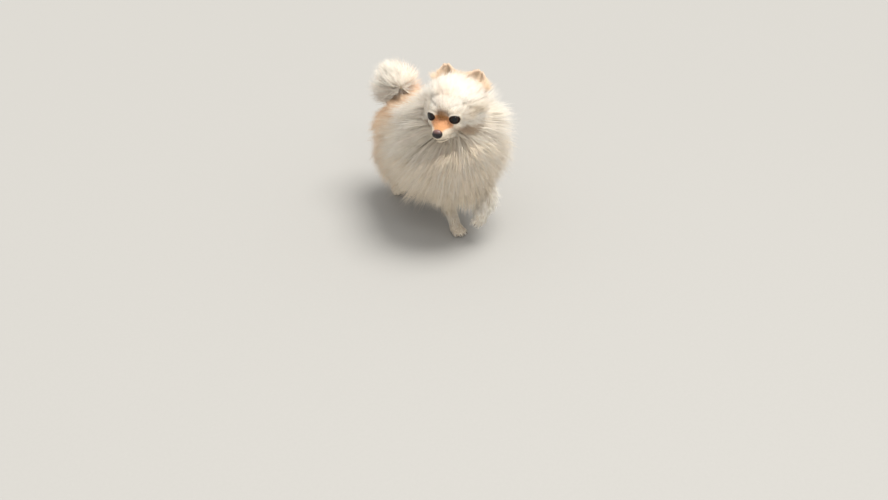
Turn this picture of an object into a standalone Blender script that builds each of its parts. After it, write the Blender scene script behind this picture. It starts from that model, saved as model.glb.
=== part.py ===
"""A Pomeranian, life size, pausing on three feet with its left forefoot up and its head turned to its right.

Metres, +Z up. The dog faces -Y and its left side is +X. Every solid of flesh holds a core, which is the
body with the inner part of its coat, and the coat's locks, which reach the true outline. The parts meet on
thin cuts.
"""

import math
import random

import bmesh
import bpy
from mathutils import Matrix, Vector

# Spaces between touching parts
GAP = 0.0003
HALF_GAP = GAP / 2
THINNEST = 0.001
SWOLLEN_GAP = GAP * 1.3
CUT_REACH = 0.5

# Head: its middle, its turn to the dog's right, how far the nose dips and how far the left side rises
HEAD_CENTRE = Vector((-0.019, -0.075, 0.2225))
HEAD_TURN = math.radians(-55)
HEAD_DIP = math.radians(1)
HEAD_TILT = math.radians(3)

# Eyes, nose and ears, as forward, left and up in the head
EYE_PLACE = (0.0188, 0.0165, 0.0)
EYE_RADIUS = 0.0088
EYE_OUTWARD = math.radians(24)
LID_AHEAD = 0.0050
LID_RADIUS = 0.0083
LID_FLATNESS = 0.80
LID_THICKNESS = 0.0034
NOSE_PLACE = (0.0440, 0.0, -0.0168)
NOSE_SIZE = (0.0058, 0.0080, 0.0068)
NOSTRIL_SIZE = (0.0022, 0.0017, 0.0014)
EAR_BASE = (-0.031, 0.0210, 0.0240)
EAR_TIP = {-1: (-0.047, 0.0250, 0.0520), 1: (-0.047, 0.0300, 0.0470)}
EAR_FACE = (0.98, 0.12, 0)
EAR_HALF_WIDTH = 0.0180
EAR_TIP_HALF_WIDTH = 0.0032
EAR_THICKNESS = 0.0028
EAR_CUP_DEPTH = 0.0075

# Where the parts are divided: a point on each cut and the way towards the part that it bounds
NECK_CUT = (Vector((0, -0.045, 0.158)), Vector((0, -0.50, 0.866)).normalized())
TAIL_CUT = (Vector((0, 0.070, 0.185)), Vector((0, 0.35, 0.94)).normalized())
HIP_HEIGHT = 0.100
HIP_FRONT = 0.038
FLOOR = Vector((0, 0, 0))
UP = Vector((0, 0, 1))
BACK = Vector((0, 1, 0))
LEFT = Vector((1, 0, 0))

# The core of each part: the grain it is fused at, how often it is smoothed, and its triangles
CORE = {
    "torso": {"voxel": 0.0035, "smoothing": 4, "triangles": 420},
    "neck": {"voxel": 0.0032, "smoothing": 4, "triangles": 260},
    "head": {"voxel": 0.0013, "smoothing": 3, "triangles": 1300},
    "tail": {"voxel": 0.0018, "smoothing": 2, "triangles": 200},
    "foreleg": {"voxel": 0.0014, "smoothing": 2, "triangles": 460},
    "hindleg": {"voxel": 0.0016, "smoothing": 2, "triangles": 520},
}

# The coat of each part: the space between roots, a lock's width and thickness, and the seed of its chances
COAT = {
    "torso": {"spacing": 0.0230, "width": 0.0300, "thickness": 0.0042, "seed": 13},
    "neck": {"spacing": 0.0170, "width": 0.0260, "thickness": 0.0040, "seed": 23},
    "head": {"spacing": 0.0150, "width": 0.0180, "thickness": 0.0030, "seed": 37},
    "tail": {"spacing": 0.0125, "width": 0.0165, "thickness": 0.0030, "seed": 5},
    "hindleg": {"spacing": 0.0190, "width": 0.0240, "thickness": 0.0036, "seed": 47},
}

# Ring positions along a lock, and its width there as a share of the full width
LOCK_RINGS = ((0.0, 0.70), (0.34, 1.0), (0.62, 0.86), (0.85, 0.48))
ROOT_DEPTH = 0.0045
KNEE_STAND = 0.75
KNEE_SWEEP = 0.28
LENGTH_SPREAD = (0.90, 1.08)
WIDTH_SPREAD = (0.88, 1.10)

# Room that the torso's coat leaves round the forelegs, and that the head's leaves round the ears
ROOM_AT_RIGHT_FORELEG = (0.0170, 0.0155)
ROOM_AT_LEFT_FORELEG = (0.0175, 0.0172)
ROOM_AT_EAR = EAR_HALF_WIDTH + 0.0010
BARE_ROUND_EAR = 0.017
BARE_ROUND_LEG = 0.021
BELLY_COAT_HEIGHT = 0.046
BREECHES_HEIGHT = 0.030
BARE_BELOW_HOCK = 0.050

# Colours of the plain solids, linear
CREAM = (0.80, 0.66, 0.48)
APRICOT = (0.75, 0.46, 0.22)
PINK = (0.72, 0.45, 0.36)
DARK_BROWN = (0.020, 0.012, 0.009)
NEAR_BLACK = (0.016, 0.013, 0.013)


def head_way(forward, left, up):
    """A direction given in the head, as one in the dog's frame."""
    ahead = Vector((math.sin(HEAD_TURN), -math.cos(HEAD_TURN), 0))
    aside = Vector((math.cos(HEAD_TURN), math.sin(HEAD_TURN), 0))
    nose_way = ahead * math.cos(HEAD_DIP) - UP * math.sin(HEAD_DIP)
    level = ahead * math.sin(HEAD_DIP) + UP * math.cos(HEAD_DIP)
    left_way = aside * math.cos(HEAD_TILT) + level * math.sin(HEAD_TILT)
    crown_way = level * math.cos(HEAD_TILT) - aside * math.sin(HEAD_TILT)
    return nose_way * forward + left_way * left + crown_way * up


def head_point(forward, left, up):
    """A place given in the head, as one in the dog's frame."""
    return HEAD_CENTRE + head_way(forward, left, up)


HEAD_CUT = (head_point(-0.018, 0, -0.024), head_way(0.60, 0, 0.80))


def clear_scene():
    for thing in list(bpy.data.objects):
        bpy.data.objects.remove(thing)


def material(name, colour, roughness):
    made = bpy.data.materials.new(name)
    made.use_nodes = True
    shader = made.node_tree.nodes["Principled BSDF"]
    shader.inputs["Base Color"].default_value = (*colour, 1)
    shader.inputs["Roughness"].default_value = roughness
    shader.inputs["Metallic"].default_value = 0.0
    return made


def new_object(name, bm):
    if bm.calc_volume(signed=True) < 0:
        bmesh.ops.reverse_faces(bm, faces=bm.faces[:])
    mesh = bpy.data.meshes.new(name)
    bm.to_mesh(mesh)
    bm.free()
    made = bpy.data.objects.new(name, mesh)
    bpy.context.scene.collection.objects.link(made)
    return made


def bake_modifiers(thing):
    """Puts the mesh that the modifiers make in place of the object's own."""
    graph = bpy.context.evaluated_depsgraph_get()
    made = bpy.data.meshes.new_from_object(thing.evaluated_get(graph))
    thing.modifiers.clear()
    thing.data = made


def remove(*things):
    for thing in things:
        bpy.data.objects.remove(thing)


# Plain bodies

def smooth_step(points, i, t):
    """The point at share t between points i and i + 1 of a row, on a smooth curve through them all."""
    a, b = points[max(i - 1, 0)], points[i]
    c, d = points[i + 1], points[min(i + 2, len(points) - 1)]
    return 0.5 * (2 * b + (c - a) * t + (2 * a - 5 * b + 4 * c - d) * t**2 + (3 * b - a - 3 * c + d) * t**3)


def smooth_row(stations, steps):
    """Rows of centre, half width and half height on a smooth curve through the stations."""
    rows = [Vector(s) for s in stations]
    out = []
    for i in range(len(rows) - 1):
        for k in range(steps):
            out.append(smooth_step(rows, i, k / steps))
    out.append(rows[-1])
    return [(Vector(row[:3]), max(row[3], THINNEST), max(row[4], THINNEST)) for row in out]


def add_limb(bm, stations, across=LEFT, sides=18, steps=3, more=0.0):
    """A closed tapered tube through stations of x, y, z and two half sizes, all made thicker by more."""
    rows = smooth_row(stations, steps)
    rings = []
    for i, (centre, half_width, half_height) in enumerate(rows):
        tangent = (rows[min(i + 1, len(rows) - 1)][0] - rows[max(i - 1, 0)][0]).normalized()
        side = (across - tangent * across.dot(tangent)).normalized()
        other = tangent.cross(side)
        ring = []
        for k in range(sides):
            angle = math.tau * k / sides
            wide, high = (half_width + more) * math.cos(angle), (half_height + more) * math.sin(angle)
            ring.append(bm.verts.new(centre + side * wide + other * high))
        rings.append(ring)
    for first, second in zip(rings, rings[1:]):
        for k in range(sides):
            m = (k + 1) % sides
            bm.faces.new((first[k], first[m], second[m], second[k]))
    for ring, row, way in ((rings[0], rows[0], -1), (rings[-1], rows[-1], 1)):
        near = rows[1] if way < 0 else rows[-2]
        pole = bm.verts.new(row[0] + (row[0] - near[0]).normalized() * (row[1] * 0.4 + more))
        for k in range(sides):
            pair = (ring[k], ring[(k + 1) % sides])
            bm.faces.new((pair[0], pole, pair[1]) if way < 0 else (pair[0], pair[1], pole))


def add_ellipsoid(bm, centre, radii, axes=None, segments=20, more=0.0):
    """A ball scaled to radii along the three axes, the dog's own or the head's."""
    axes = axes or (LEFT, BACK, UP)
    turn = Matrix([list(axis) for axis in axes]).transposed().to_4x4()
    size = Matrix.Diagonal((*(r + more for r in radii), 1))
    bmesh.ops.create_uvsphere(
        bm,
        u_segments=segments,
        v_segments=segments // 2 + 2,
        radius=1.0,
        matrix=Matrix.Translation(centre) @ turn @ size,
    )


def swell(bm, amount):
    """Moves every face of a closed body outwards by amount."""
    bm.normal_update()
    moves = [v.normal * amount * v.calc_shell_factor() for v in bm.verts]
    for vert, move in zip(bm.verts, moves):
        vert.co += move


HEAD_AXES = (head_way(1, 0, 0), head_way(0, 1, 0), head_way(0, 0, 1))


def head_stations(stations):
    return [(*head_point(f, l, u), width, height) for f, l, u, width, height in stations]


def fused(name, bm, part):
    """Overlapping bodies as one smooth closed body, and the even points that it was thinned from."""
    voxel, smoothing, triangles = CORE[part].values()
    bmesh.ops.recalc_face_normals(bm, faces=bm.faces[:])
    body = new_object(name, bm)
    remesh = body.modifiers.new("fuse", "REMESH")
    remesh.mode = "VOXEL"
    remesh.voxel_size = voxel
    smooth = body.modifiers.new("ease", "SMOOTH")
    smooth.factor = 0.5
    smooth.iterations = smoothing
    bake_modifiers(body)
    even = [(v.co.copy(), v.normal.copy()) for v in body.data.vertices]
    thin = body.modifiers.new("thin", "DECIMATE")
    thin.ratio = triangles / (2 * len(body.data.polygons))
    thin.use_collapse_triangulate = True
    bake_modifiers(body)
    return body, even


# Cuts and joins

def block(name, low, high, frame=None):
    """A box between two corners, in the dog's frame or another one."""
    bm = bmesh.new()
    bmesh.ops.create_cube(bm, size=1.0)
    bmesh.ops.scale(bm, vec=high - low, verts=bm.verts[:])
    bmesh.ops.translate(bm, vec=(low + high) / 2, verts=bm.verts[:])
    if frame:
        bmesh.ops.transform(bm, matrix=frame, verts=bm.verts[:])
    return new_object(name, bm)


def cut_away(body, point, ahead):
    """Removes what lies behind the plane."""
    frame = Matrix.Translation(point) @ ahead.to_track_quat("Z", "Y").to_matrix().to_4x4()
    low, high = Vector((-CUT_REACH, -CUT_REACH, -CUT_REACH)), Vector((CUT_REACH, CUT_REACH, 0))
    boolean(body, "DIFFERENCE", [block("cut", low, high, frame)])


def boolean(body, operation, others):
    """One Boolean of the body with all the others, which are removed afterwards."""
    group = bpy.data.collections.new(body.name + "_pieces")
    for other in others:
        for home in list(other.users_collection):
            home.objects.unlink(other)
        group.objects.link(other)
    bpy.context.scene.collection.children.link(group)
    join = body.modifiers.new("join", "BOOLEAN")
    join.operation = operation
    join.operand_type = "COLLECTION"
    join.collection = group
    join.solver = "MANIFOLD"
    bake_modifiers(body)
    remove(*others)
    bpy.data.collections.remove(group)


def volume_of(faces):
    total = 0.0
    for face in faces:
        corners = [v.co for v in face.verts]
        for a, b in zip(corners[1:], corners[2:]):
            total += corners[0].dot(a.cross(b)) / 6
    return total


def keep_largest(body):
    """Drops every loose piece but the one with the most volume."""
    bm = bmesh.new()
    bm.from_mesh(body.data)
    bmesh.ops.triangulate(bm, faces=bm.faces[:])
    seen, pieces = set(), []
    for start in bm.faces:
        if start in seen:
            continue
        piece, edge_of = [], [start]
        seen.add(start)
        while edge_of:
            face = edge_of.pop()
            piece.append(face)
            for near in (f for e in face.edges for f in e.link_faces if f not in seen):
                seen.add(near)
                edge_of.append(near)
        pieces.append(piece)
    pieces.sort(key=volume_of)
    scraps = [face for piece in pieces[:-1] for face in piece]
    bmesh.ops.delete(bm, geom=scraps, context="FACES")
    bm.to_mesh(body.data)
    bm.free()


# Limits that locks are bent to keep: each takes a point and the room it needs, and returns where it may be

def stay_ahead(point, ahead):
    def limit(p, room):
        short = room - (p - point).dot(ahead)
        return p + ahead * short if short > 0 else p

    return limit


def stay_behind(point, ahead):
    return stay_ahead(point, -ahead)


def stay_behind_past(point, ahead, start):
    """As stay_behind, for what lies further back than start."""
    inner = stay_ahead(point, -ahead)
    return lambda p, room: inner(p, room) if p.y > start else p


def stay_off_line(a, b, radius):
    """Keeps clear of a round bar from a to b."""
    way = b - a

    def limit(p, room):
        share = min(max((p - a).dot(way) / way.length_squared, 0), 1)
        out = p - (a + way * share)
        wanted = radius + room
        return p + out.normalized() * (wanted - out.length) if 1e-9 < out.length < wanted else p

    return limit


def stay_off_hips(p, room):
    """Keeps the torso's coat out of the space of the hind legs."""
    over, ahead = HIP_HEIGHT + room - p.z, p.y - (HIP_FRONT - room)
    if over <= 0 or ahead <= 0:
        return p
    return Vector((p.x, p.y, p.z + over)) if over < ahead else Vector((p.x, p.y - ahead, p.z))


def bent(p, limits, room):
    for _ in range(3):
        for limit in limits:
            p = limit(p, room)
    return p


# The coat

def spread_roots(even, spacing, bare, seed):
    """Root places about one spacing apart all over a body, apart from where it is bare."""
    order = list(range(len(even)))
    random.Random(seed).shuffle(order)
    cells, roots = {}, []
    for i in order:
        place, normal = even[i]
        if bare(place, normal):
            continue
        cell = tuple(int(math.floor(c / spacing)) for c in place)
        around = (
            near
            for x in (-1, 0, 1)
            for y in (-1, 0, 1)
            for z in (-1, 0, 1)
            for near in cells.get((cell[0] + x, cell[1] + y, cell[2] + z), ())
        )
        if any((place - near).length < spacing for near in around):
            continue
        cells.setdefault(cell, []).append(place)
        roots.append((place, normal))
    return roots


def add_lock(name, root, normal, way, width, thickness, limits):
    """One flat lock with a keel, which leaves along the normal, bends over along way and ends in a point.

    way is the step from the root to the tip, beyond the surface.
    """
    start = root - normal * ROOT_DEPTH
    tip = root + way
    risen = normal * way.dot(normal)
    knee = root + risen * KNEE_STAND + (way - risen) * KNEE_SWEEP
    shares = [t for t, _ in LOCK_RINGS] + [1.0]
    line = [start * (1 - t) ** 2 + knee * 2 * t * (1 - t) + tip * t**2 for t in shares]
    line = line[:1] + [bent(p, limits, thickness) for p in line[1:]]
    bm = bmesh.new()
    rings = []
    for i, (_, share) in enumerate(LOCK_RINGS):
        along = (line[i + 1] - line[max(i - 1, 0)]).normalized()
        flat = along.cross(normal)
        if flat.length < 0.05:
            flat = along.cross(BACK)
        flat.normalize()
        keel = flat.cross(along).normalized()
        if keel.dot(normal) < 0 and i == 0:
            keel = -keel
        half = width * share / 2
        ridge = line[i] + keel * thickness * (1 + share) / 2
        corners = [line[i] - flat * half, ridge, line[i] + flat * half]
        rings.append([bm.verts.new(bent(p, limits, HALF_GAP)) for p in corners])
    last = bm.verts.new(bent(line[-1], limits, HALF_GAP))
    for first, second in zip(rings, rings[1:]):
        for k in range(3):
            m = (k + 1) % 3
            bm.faces.new((first[k], first[m], second[m], second[k]))
    for k in range(3):
        bm.faces.new((rings[-1][k], rings[-1][(k + 1) % 3], last))
    bm.faces.new(reversed(rings[0]))
    bmesh.ops.triangulate(bm, faces=bm.faces[:])
    bmesh.ops.recalc_face_normals(bm, faces=bm.faces[:])
    return new_object(name, bm)


def grow_coat(body, even, part, bare, lie, limits, more_seed=0):
    """Fuses the part's locks with its body. lie gives a lock's step from root to tip at a place."""
    sizes = COAT[part]
    seed = sizes["seed"] + more_seed
    draw = random.Random(seed)
    locks = []
    for i, (root, normal) in enumerate(spread_roots(even, sizes["spacing"], bare, seed)):
        way = lie(root, normal) * draw.uniform(*LENGTH_SPREAD)
        width = sizes["width"] * draw.uniform(*WIDTH_SPREAD)
        locks.append(add_lock(f"{part}_lock_{i}", root, normal, way, width, sizes["thickness"], limits))
    boolean(body, "UNION", locks)
    keep_largest(body)


def laid(normal, flow, stand, sweep):
    """A step that stands off the surface by stand and is swept along flow by sweep."""
    along = flow - normal * flow.dot(normal)
    if along.length > 1e-6:
        along.normalize()
    return normal * stand + along * sweep


def ramp(value, low, high):
    """0 below low, 1 above high and smooth between."""
    t = min(max((value - low) / (high - low), 0), 1)
    return t * t * (3 - 2 * t)


# Torso

TORSO = (
    (0, -0.106, 0.126, 0.010, 0.012),
    (0, -0.096, 0.127, 0.037, 0.038),
    (0, -0.070, 0.131, 0.056, 0.054),
    (0, -0.030, 0.136, 0.062, 0.058),
    (0, 0.010, 0.135, 0.060, 0.053),
    (0, 0.052, 0.132, 0.057, 0.049),
    (0, 0.089, 0.129, 0.051, 0.045),
    (0, 0.116, 0.127, 0.037, 0.034),
    (0, 0.128, 0.126, 0.012, 0.012),
)


def torso_lie(p, n):
    """Down at the chest, back along the top, back and down on the sides, down at the buttocks."""
    front = 1 - ramp(p.y, -0.085, -0.035)
    rear = ramp(p.y, 0.075, 0.115)
    top = ramp(n.z, 0.35, 0.9)
    under = ramp(-n.z, 0.2, 0.8)
    back = 0.80 - 0.95 * front - 0.35 * rear + 0.50 * under
    down = (0.55 + 0.45 * front + 0.45 * rear) * (1 - 0.80 * top)
    flow = BACK * back - UP * down
    side = 1 - ramp(abs(n.z), 0.3, 0.9)
    shoulder = 1 - ramp(p.y, -0.02, 0.06)
    stand = 0.018 + side * (0.005 + 0.020 * shoulder) + 0.002 * front - 0.002 * under
    sweep = 0.030 + 0.010 * front + 0.004 * shoulder
    return laid(n, flow, stand, sweep)


def torso(legs):
    """The body between neck, tail and legs, hollowed for the root of each leg and of the tail."""
    bm = bmesh.new()
    add_limb(bm, TORSO)
    body, even = fused("torso", bm, "torso")
    cut_away(body, NECK_CUT[0] - NECK_CUT[1] * HALF_GAP, -NECK_CUT[1])
    right = [Vector(station[:3]) for station in FORELEG_RIGHT]
    left = [Vector(station[:3]) for station in FORELEG_LEFT]
    limits = [
        stay_behind(*NECK_CUT),
        stay_behind_past(*TAIL_CUT, start=0.045),
        stay_off_line(right[0], right[3], ROOM_AT_RIGHT_FORELEG[0]),
        stay_off_line(right[3], right[5], ROOM_AT_RIGHT_FORELEG[1]),
        stay_off_line(left[1], left[3], ROOM_AT_LEFT_FORELEG[0]),
        stay_off_line(left[3], left[5], ROOM_AT_LEFT_FORELEG[1]),
        stay_off_hips,
        stay_ahead(UP * BELLY_COAT_HEIGHT, UP),
    ]

    def bare(p, n):
        in_neck = (p - NECK_CUT[0]).dot(NECK_CUT[1]) > -0.004
        in_hips = p.z < HIP_HEIGHT + 0.004 and p.y > HIP_FRONT - 0.008
        at_tail = p.y > 0.085 and abs(p.x) < 0.014 and p.z > 0.140
        at_leg = any((p - elbow).length < BARE_ROUND_LEG for elbow in (right[1], left[1]))
        return in_neck or in_hips or at_tail or at_leg

    grow_coat(body, even, "torso", bare, torso_lie, limits)
    low = Vector((-CUT_REACH, HIP_FRONT - HALF_GAP, -CUT_REACH))
    cutters = [block("hip_space", low, Vector((CUT_REACH, CUT_REACH, HIP_HEIGHT + HALF_GAP)))]
    for leg in legs:
        space = bmesh.new()
        space.from_mesh(leg.data)
        swell(space, SWOLLEN_GAP)
        cutters.append(new_object("leg_space", space))
    space = bmesh.new()
    add_tail_stem(space)
    swell(space, SWOLLEN_GAP)
    cutters.append(new_object("tail_space", space))
    boolean(body, "DIFFERENCE", cutters)
    keep_largest(body)
    return body


# Neck and ruff

NECK = (
    (0, -0.012, 0.125, 0.034, 0.034),
    (0, -0.028, 0.145, 0.053, 0.052),
    (-0.003, -0.044, 0.169, 0.055, 0.053),
    (-0.007, -0.057, 0.190, 0.049, 0.046),
    (-0.011, -0.065, 0.205, 0.040, 0.038),
    (-0.013, -0.070, 0.217, 0.026, 0.026),
)


def neck_lie(p, n):
    """The ruff stands out all round and falls away from the head."""
    axis = NECK_CUT[1]
    front = ramp(-n.y, 0.1, 0.8)
    side = ramp(abs(n.x), 0.3, 0.9)
    stand = 0.024 + 0.022 * side + 0.004 * front
    return laid(n, -axis + BACK * 0.15, stand, 0.026 + 0.006 * front)


def neck():
    bm = bmesh.new()
    add_limb(bm, NECK)
    body, even = fused("neck", bm, "neck")
    cut_away(body, NECK_CUT[0] + NECK_CUT[1] * HALF_GAP, NECK_CUT[1])
    cut_away(body, HEAD_CUT[0] - HEAD_CUT[1] * HALF_GAP, -HEAD_CUT[1])
    limits = [stay_ahead(*NECK_CUT), stay_behind(*HEAD_CUT)]

    def bare(p, n):
        low = (p - NECK_CUT[0]).dot(NECK_CUT[1]) < 0.003
        return low or (p - HEAD_CUT[0]).dot(HEAD_CUT[1]) > -0.003

    grow_coat(body, even, "neck", bare, neck_lie, limits)
    return body


# Head

MUZZLE = (
    (0.008, 0, -0.0100, 0.0240, 0.0170),
    (0.018, 0, -0.0135, 0.0222, 0.0140),
    (0.028, 0, -0.0168, 0.0180, 0.0112),
    (0.037, 0, -0.0195, 0.0138, 0.0090),
    (0.0430, 0, -0.0213, 0.0100, 0.0068),
    (0.0455, 0, -0.0218, 0.0040, 0.0035),
)
JAW = (
    (-0.004, 0, -0.0270, 0.0160, 0.0090),
    (0.014, 0, -0.0285, 0.0150, 0.0070),
    (0.027, 0, -0.0290, 0.0120, 0.0058),
    (0.0365, 0, -0.0290, 0.0086, 0.0046),
    (0.0400, 0, -0.0288, 0.0030, 0.0025),
)
SKULL = (
    ((-0.010, 0, 0.004), (0.036, 0.037, 0.036)),
    ((-0.022, 0, 0.010), (0.030, 0.037, 0.030)),
    ((0.008, 0, 0.012), (0.018, 0.024, 0.016)),
)
CHEEK = ((-0.007, 0.021, -0.012), (0.021, 0.017, 0.018))
MOUTH = (
    (0.0450, 0.0010, -0.0270),
    (0.0405, 0.0078, -0.0274),
    (0.0320, 0.0124, -0.0268),
    (0.0230, 0.0158, -0.0256),
)
MOUTH_GROOVE = 0.0009


def mirrored(place, side):
    return (place[0], place[1] * side, place[2])


def eye_axes(side):
    """The way an eye looks, and its left and up."""
    look = head_way(math.cos(EYE_OUTWARD), side * math.sin(EYE_OUTWARD), 0.06).normalized()
    up = (head_way(0, 0, 1) - look * head_way(0, 0, 1).dot(look)).normalized()
    return look, up.cross(look), up


def add_lids(bm, side):
    """A rim round the eye, lower and flatter than a circle, which the eyeball then hollows."""
    look, left, up = eye_axes(side)
    centre = head_point(*mirrored(EYE_PLACE, side)) + look * LID_AHEAD
    around, across = 20, 8
    rings = []
    for i in range(around):
        angle = math.tau * i / around
        out = left * math.cos(angle) + up * math.sin(angle) * LID_FLATNESS
        middle = centre + out * LID_RADIUS - look * 0.0012 * math.cos(angle) ** 2
        ring = []
        for k in range(across):
            turn = math.tau * k / across
            away = out.normalized() * math.cos(turn) + look * math.sin(turn)
            ring.append(bm.verts.new(middle + away * LID_THICKNESS / 2))
        rings.append(ring)
    for i in range(around):
        first, second = rings[i], rings[(i + 1) % around]
        for k in range(across):
            m = (k + 1) % across
            bm.faces.new((first[k], first[m], second[m], second[k]))


def head_lie(p, n):
    """Back over the crown, back and outwards on the cheeks."""
    local = p - HEAD_CENTRE
    cheek = ramp(-local.dot(head_way(0, 0, 1)), -0.006, 0.014)
    flow = -head_way(1, 0, 0) - head_way(0, 0, 1) * 0.6 * cheek
    return laid(n, flow, 0.0050 + 0.0085 * cheek, 0.020)


def head():
    bm = bmesh.new()
    for centre, radii in SKULL:
        add_ellipsoid(bm, head_point(*centre), radii, HEAD_AXES)
    for side in (-1, 1):
        add_ellipsoid(bm, head_point(*mirrored(CHEEK[0], side)), CHEEK[1], HEAD_AXES)
    add_limb(bm, head_stations(MUZZLE), across=head_way(0, 1, 0))
    add_limb(bm, head_stations(JAW), across=head_way(0, 1, 0))
    for side in (-1, 1):
        add_lids(bm, side)
    body, even = fused("head", bm, "head")
    cut_away(body, HEAD_CUT[0] + HEAD_CUT[1] * HALF_GAP, HEAD_CUT[1])
    ears = [head_point(*mirrored(EAR_BASE, side)) for side in (-1, 1)]
    tips = [head_point(*mirrored(EAR_TIP[side], side)) for side in (-1, 1)]
    limits = [stay_ahead(*HEAD_CUT)] + [stay_off_line(a, b, ROOM_AT_EAR) for a, b in zip(ears, tips)]

    def bare(p, n):
        local = p - HEAD_CENTRE
        forward, up = local.dot(head_way(1, 0, 0)), local.dot(head_way(0, 0, 1))
        on_face = forward > 0.009 + 0.10 * up
        at_cut = (p - HEAD_CUT[0]).dot(HEAD_CUT[1]) < 0.003
        return on_face or at_cut or any((p - ear).length < BARE_ROUND_EAR for ear in ears)

    grow_coat(body, even, "head", bare, head_lie, limits)
    cutters = []
    for side in (-1, 1):
        space = bmesh.new()
        centre = head_point(*mirrored(EYE_PLACE, side))
        add_ellipsoid(space, centre, (EYE_RADIUS,) * 3, HEAD_AXES, 14, more=GAP)
        cutters.append(new_object("eye_space", space))
        space = bmesh.new()
        add_ear(space, side)
        swell(space, SWOLLEN_GAP)
        cutters.append(new_object("ear_space", space))
        space = bmesh.new()
        line = head_stations([(*mirrored(p, side), MOUTH_GROOVE, MOUTH_GROOVE) for p in MOUTH])
        add_limb(space, line, across=head_way(0, 0, 1), sides=6, steps=2)
        cutters.append(new_object("mouth_line", space))
    space = bmesh.new()
    add_ellipsoid(space, head_point(*NOSE_PLACE), NOSE_SIZE, HEAD_AXES, 14, more=GAP)
    cutters.append(new_object("nose_space", space))
    boolean(body, "DIFFERENCE", cutters)
    keep_largest(body)
    return body


def eye(name, side):
    bm = bmesh.new()
    add_ellipsoid(bm, head_point(*mirrored(EYE_PLACE, side)), (EYE_RADIUS,) * 3, HEAD_AXES, 14)
    return new_object(name, bm)


def nose():
    """The nose leather, with two nostrils sunk into its front."""
    bm = bmesh.new()
    add_ellipsoid(bm, head_point(*NOSE_PLACE), NOSE_SIZE, HEAD_AXES, 14)
    body = new_object("nose", bm)
    holes = []
    for side in (-1, 1):
        hole = bmesh.new()
        forward, _, up = NOSE_PLACE
        place = head_point(forward + NOSE_SIZE[0] * 0.83, side * NOSE_SIZE[1] * 0.48, up - 0.0006)
        add_ellipsoid(hole, place, NOSTRIL_SIZE, HEAD_AXES, 8)
        holes.append(new_object("nostril", hole))
    boolean(body, "DIFFERENCE", holes)
    keep_largest(body)
    return body


def add_ear(bm, side):
    """An upright ear with a rounded tip, a curved back and a cup that opens forwards and outwards."""
    base, tip = head_point(*mirrored(EAR_BASE, side)), head_point(*mirrored(EAR_TIP[side], side))
    rise = tip - base
    up = rise.normalized()
    face = head_way(*mirrored(EAR_FACE, side))
    face = (face - up * face.dot(up)).normalized()
    across = up.cross(face)
    rows, columns = 6, 6
    half_thick = EAR_THICKNESS / 2
    sheets = []
    for sign in (1, -1):
        grid = []
        for i in range(rows + 1):
            t = i / rows
            half_width = max(EAR_HALF_WIDTH * math.sqrt(1 - t**2.2) * (1 + 0.12 * t), EAR_TIP_HALF_WIDTH)
            row = []
            for k in range(columns + 1):
                s = 2 * k / columns - 1
                curl = EAR_CUP_DEPTH * (s * s * (1 - 0.5 * t) - 0.4 * math.sin(math.pi * t))
                thick = half_thick * (1 - 0.45 * abs(s) ** 3)
                along = up * rise.length * t * (1 - 0.03 * s * s)
                off = across * s * half_width + face * (curl + sign * thick)
                row.append(bm.verts.new(base + along + off))
            grid.append(row)
        sheets.append(grid)
    front, back = sheets
    for i in range(rows):
        for k in range(columns):
            quad = [(i, k), (i, k + 1), (i + 1, k + 1), (i + 1, k)]
            a, b, c, d = (front[r][s] for r, s in quad)
            bm.faces.new((a, b, c))
            bm.faces.new((a, c, d))
            a, b, c, d = (back[r][s] for r, s in quad)
            bm.faces.new((a, c, b))
            bm.faces.new((a, d, c))
    rim = [(0, k) for k in range(columns)] + [(i, columns) for i in range(rows)]
    rim += [(rows, k) for k in range(columns, 0, -1)] + [(i, 0) for i in range(rows, 0, -1)]
    for (i, k), (r, s) in zip(rim, rim[1:] + rim[:1]):
        bm.faces.new((front[i][k], back[i][k], back[r][s]))
        bm.faces.new((front[i][k], back[r][s], front[r][s]))
    if bm.calc_volume(signed=True) < 0:
        bmesh.ops.reverse_faces(bm, faces=bm.faces[:])


def ear(name, side):
    bm = bmesh.new()
    add_ear(bm, side)
    return new_object(name, bm)


# Tail

TAIL = (
    (0, 0.094, 0.150, 0.0085, 0.0085),
    (-0.002, 0.107, 0.160, 0.0100, 0.0100),
    (-0.007, 0.118, 0.176, 0.0110, 0.0110),
    (-0.012, 0.120, 0.193, 0.0100, 0.0100),
)
TAIL_HEART = Vector((-0.016, 0.107, 0.199))
TAIL_BALL = (0.024, 0.025, 0.024)


def tail_lie(p, n):
    """Away from the heart of the curl, like a fan, and a little backwards."""
    return laid(n, BACK * 0.6 + UP * 0.4, 0.019, 0.011)


def add_tail_stem(bm):
    add_limb(bm, TAIL, sides=14, steps=2)


def tail():
    bm = bmesh.new()
    add_tail_stem(bm)
    body = new_object("tail", bm)
    ball = bmesh.new()
    add_ellipsoid(ball, TAIL_HEART, TAIL_BALL, segments=16)
    source = bmesh.new()
    add_tail_stem(source)
    add_ellipsoid(source, TAIL_HEART, TAIL_BALL, segments=16)
    guide, even = fused("tail_guide", source, "tail")
    remove(guide)
    boolean(body, "UNION", [new_object("tail_ball", ball)])

    def bare(p, n):
        return (p - TAIL_CUT[0]).dot(TAIL_CUT[1]) < -0.008

    grow_coat(body, even, "tail", bare, tail_lie, [stay_ahead(*TAIL_CUT)])
    return body


# Legs

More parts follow.
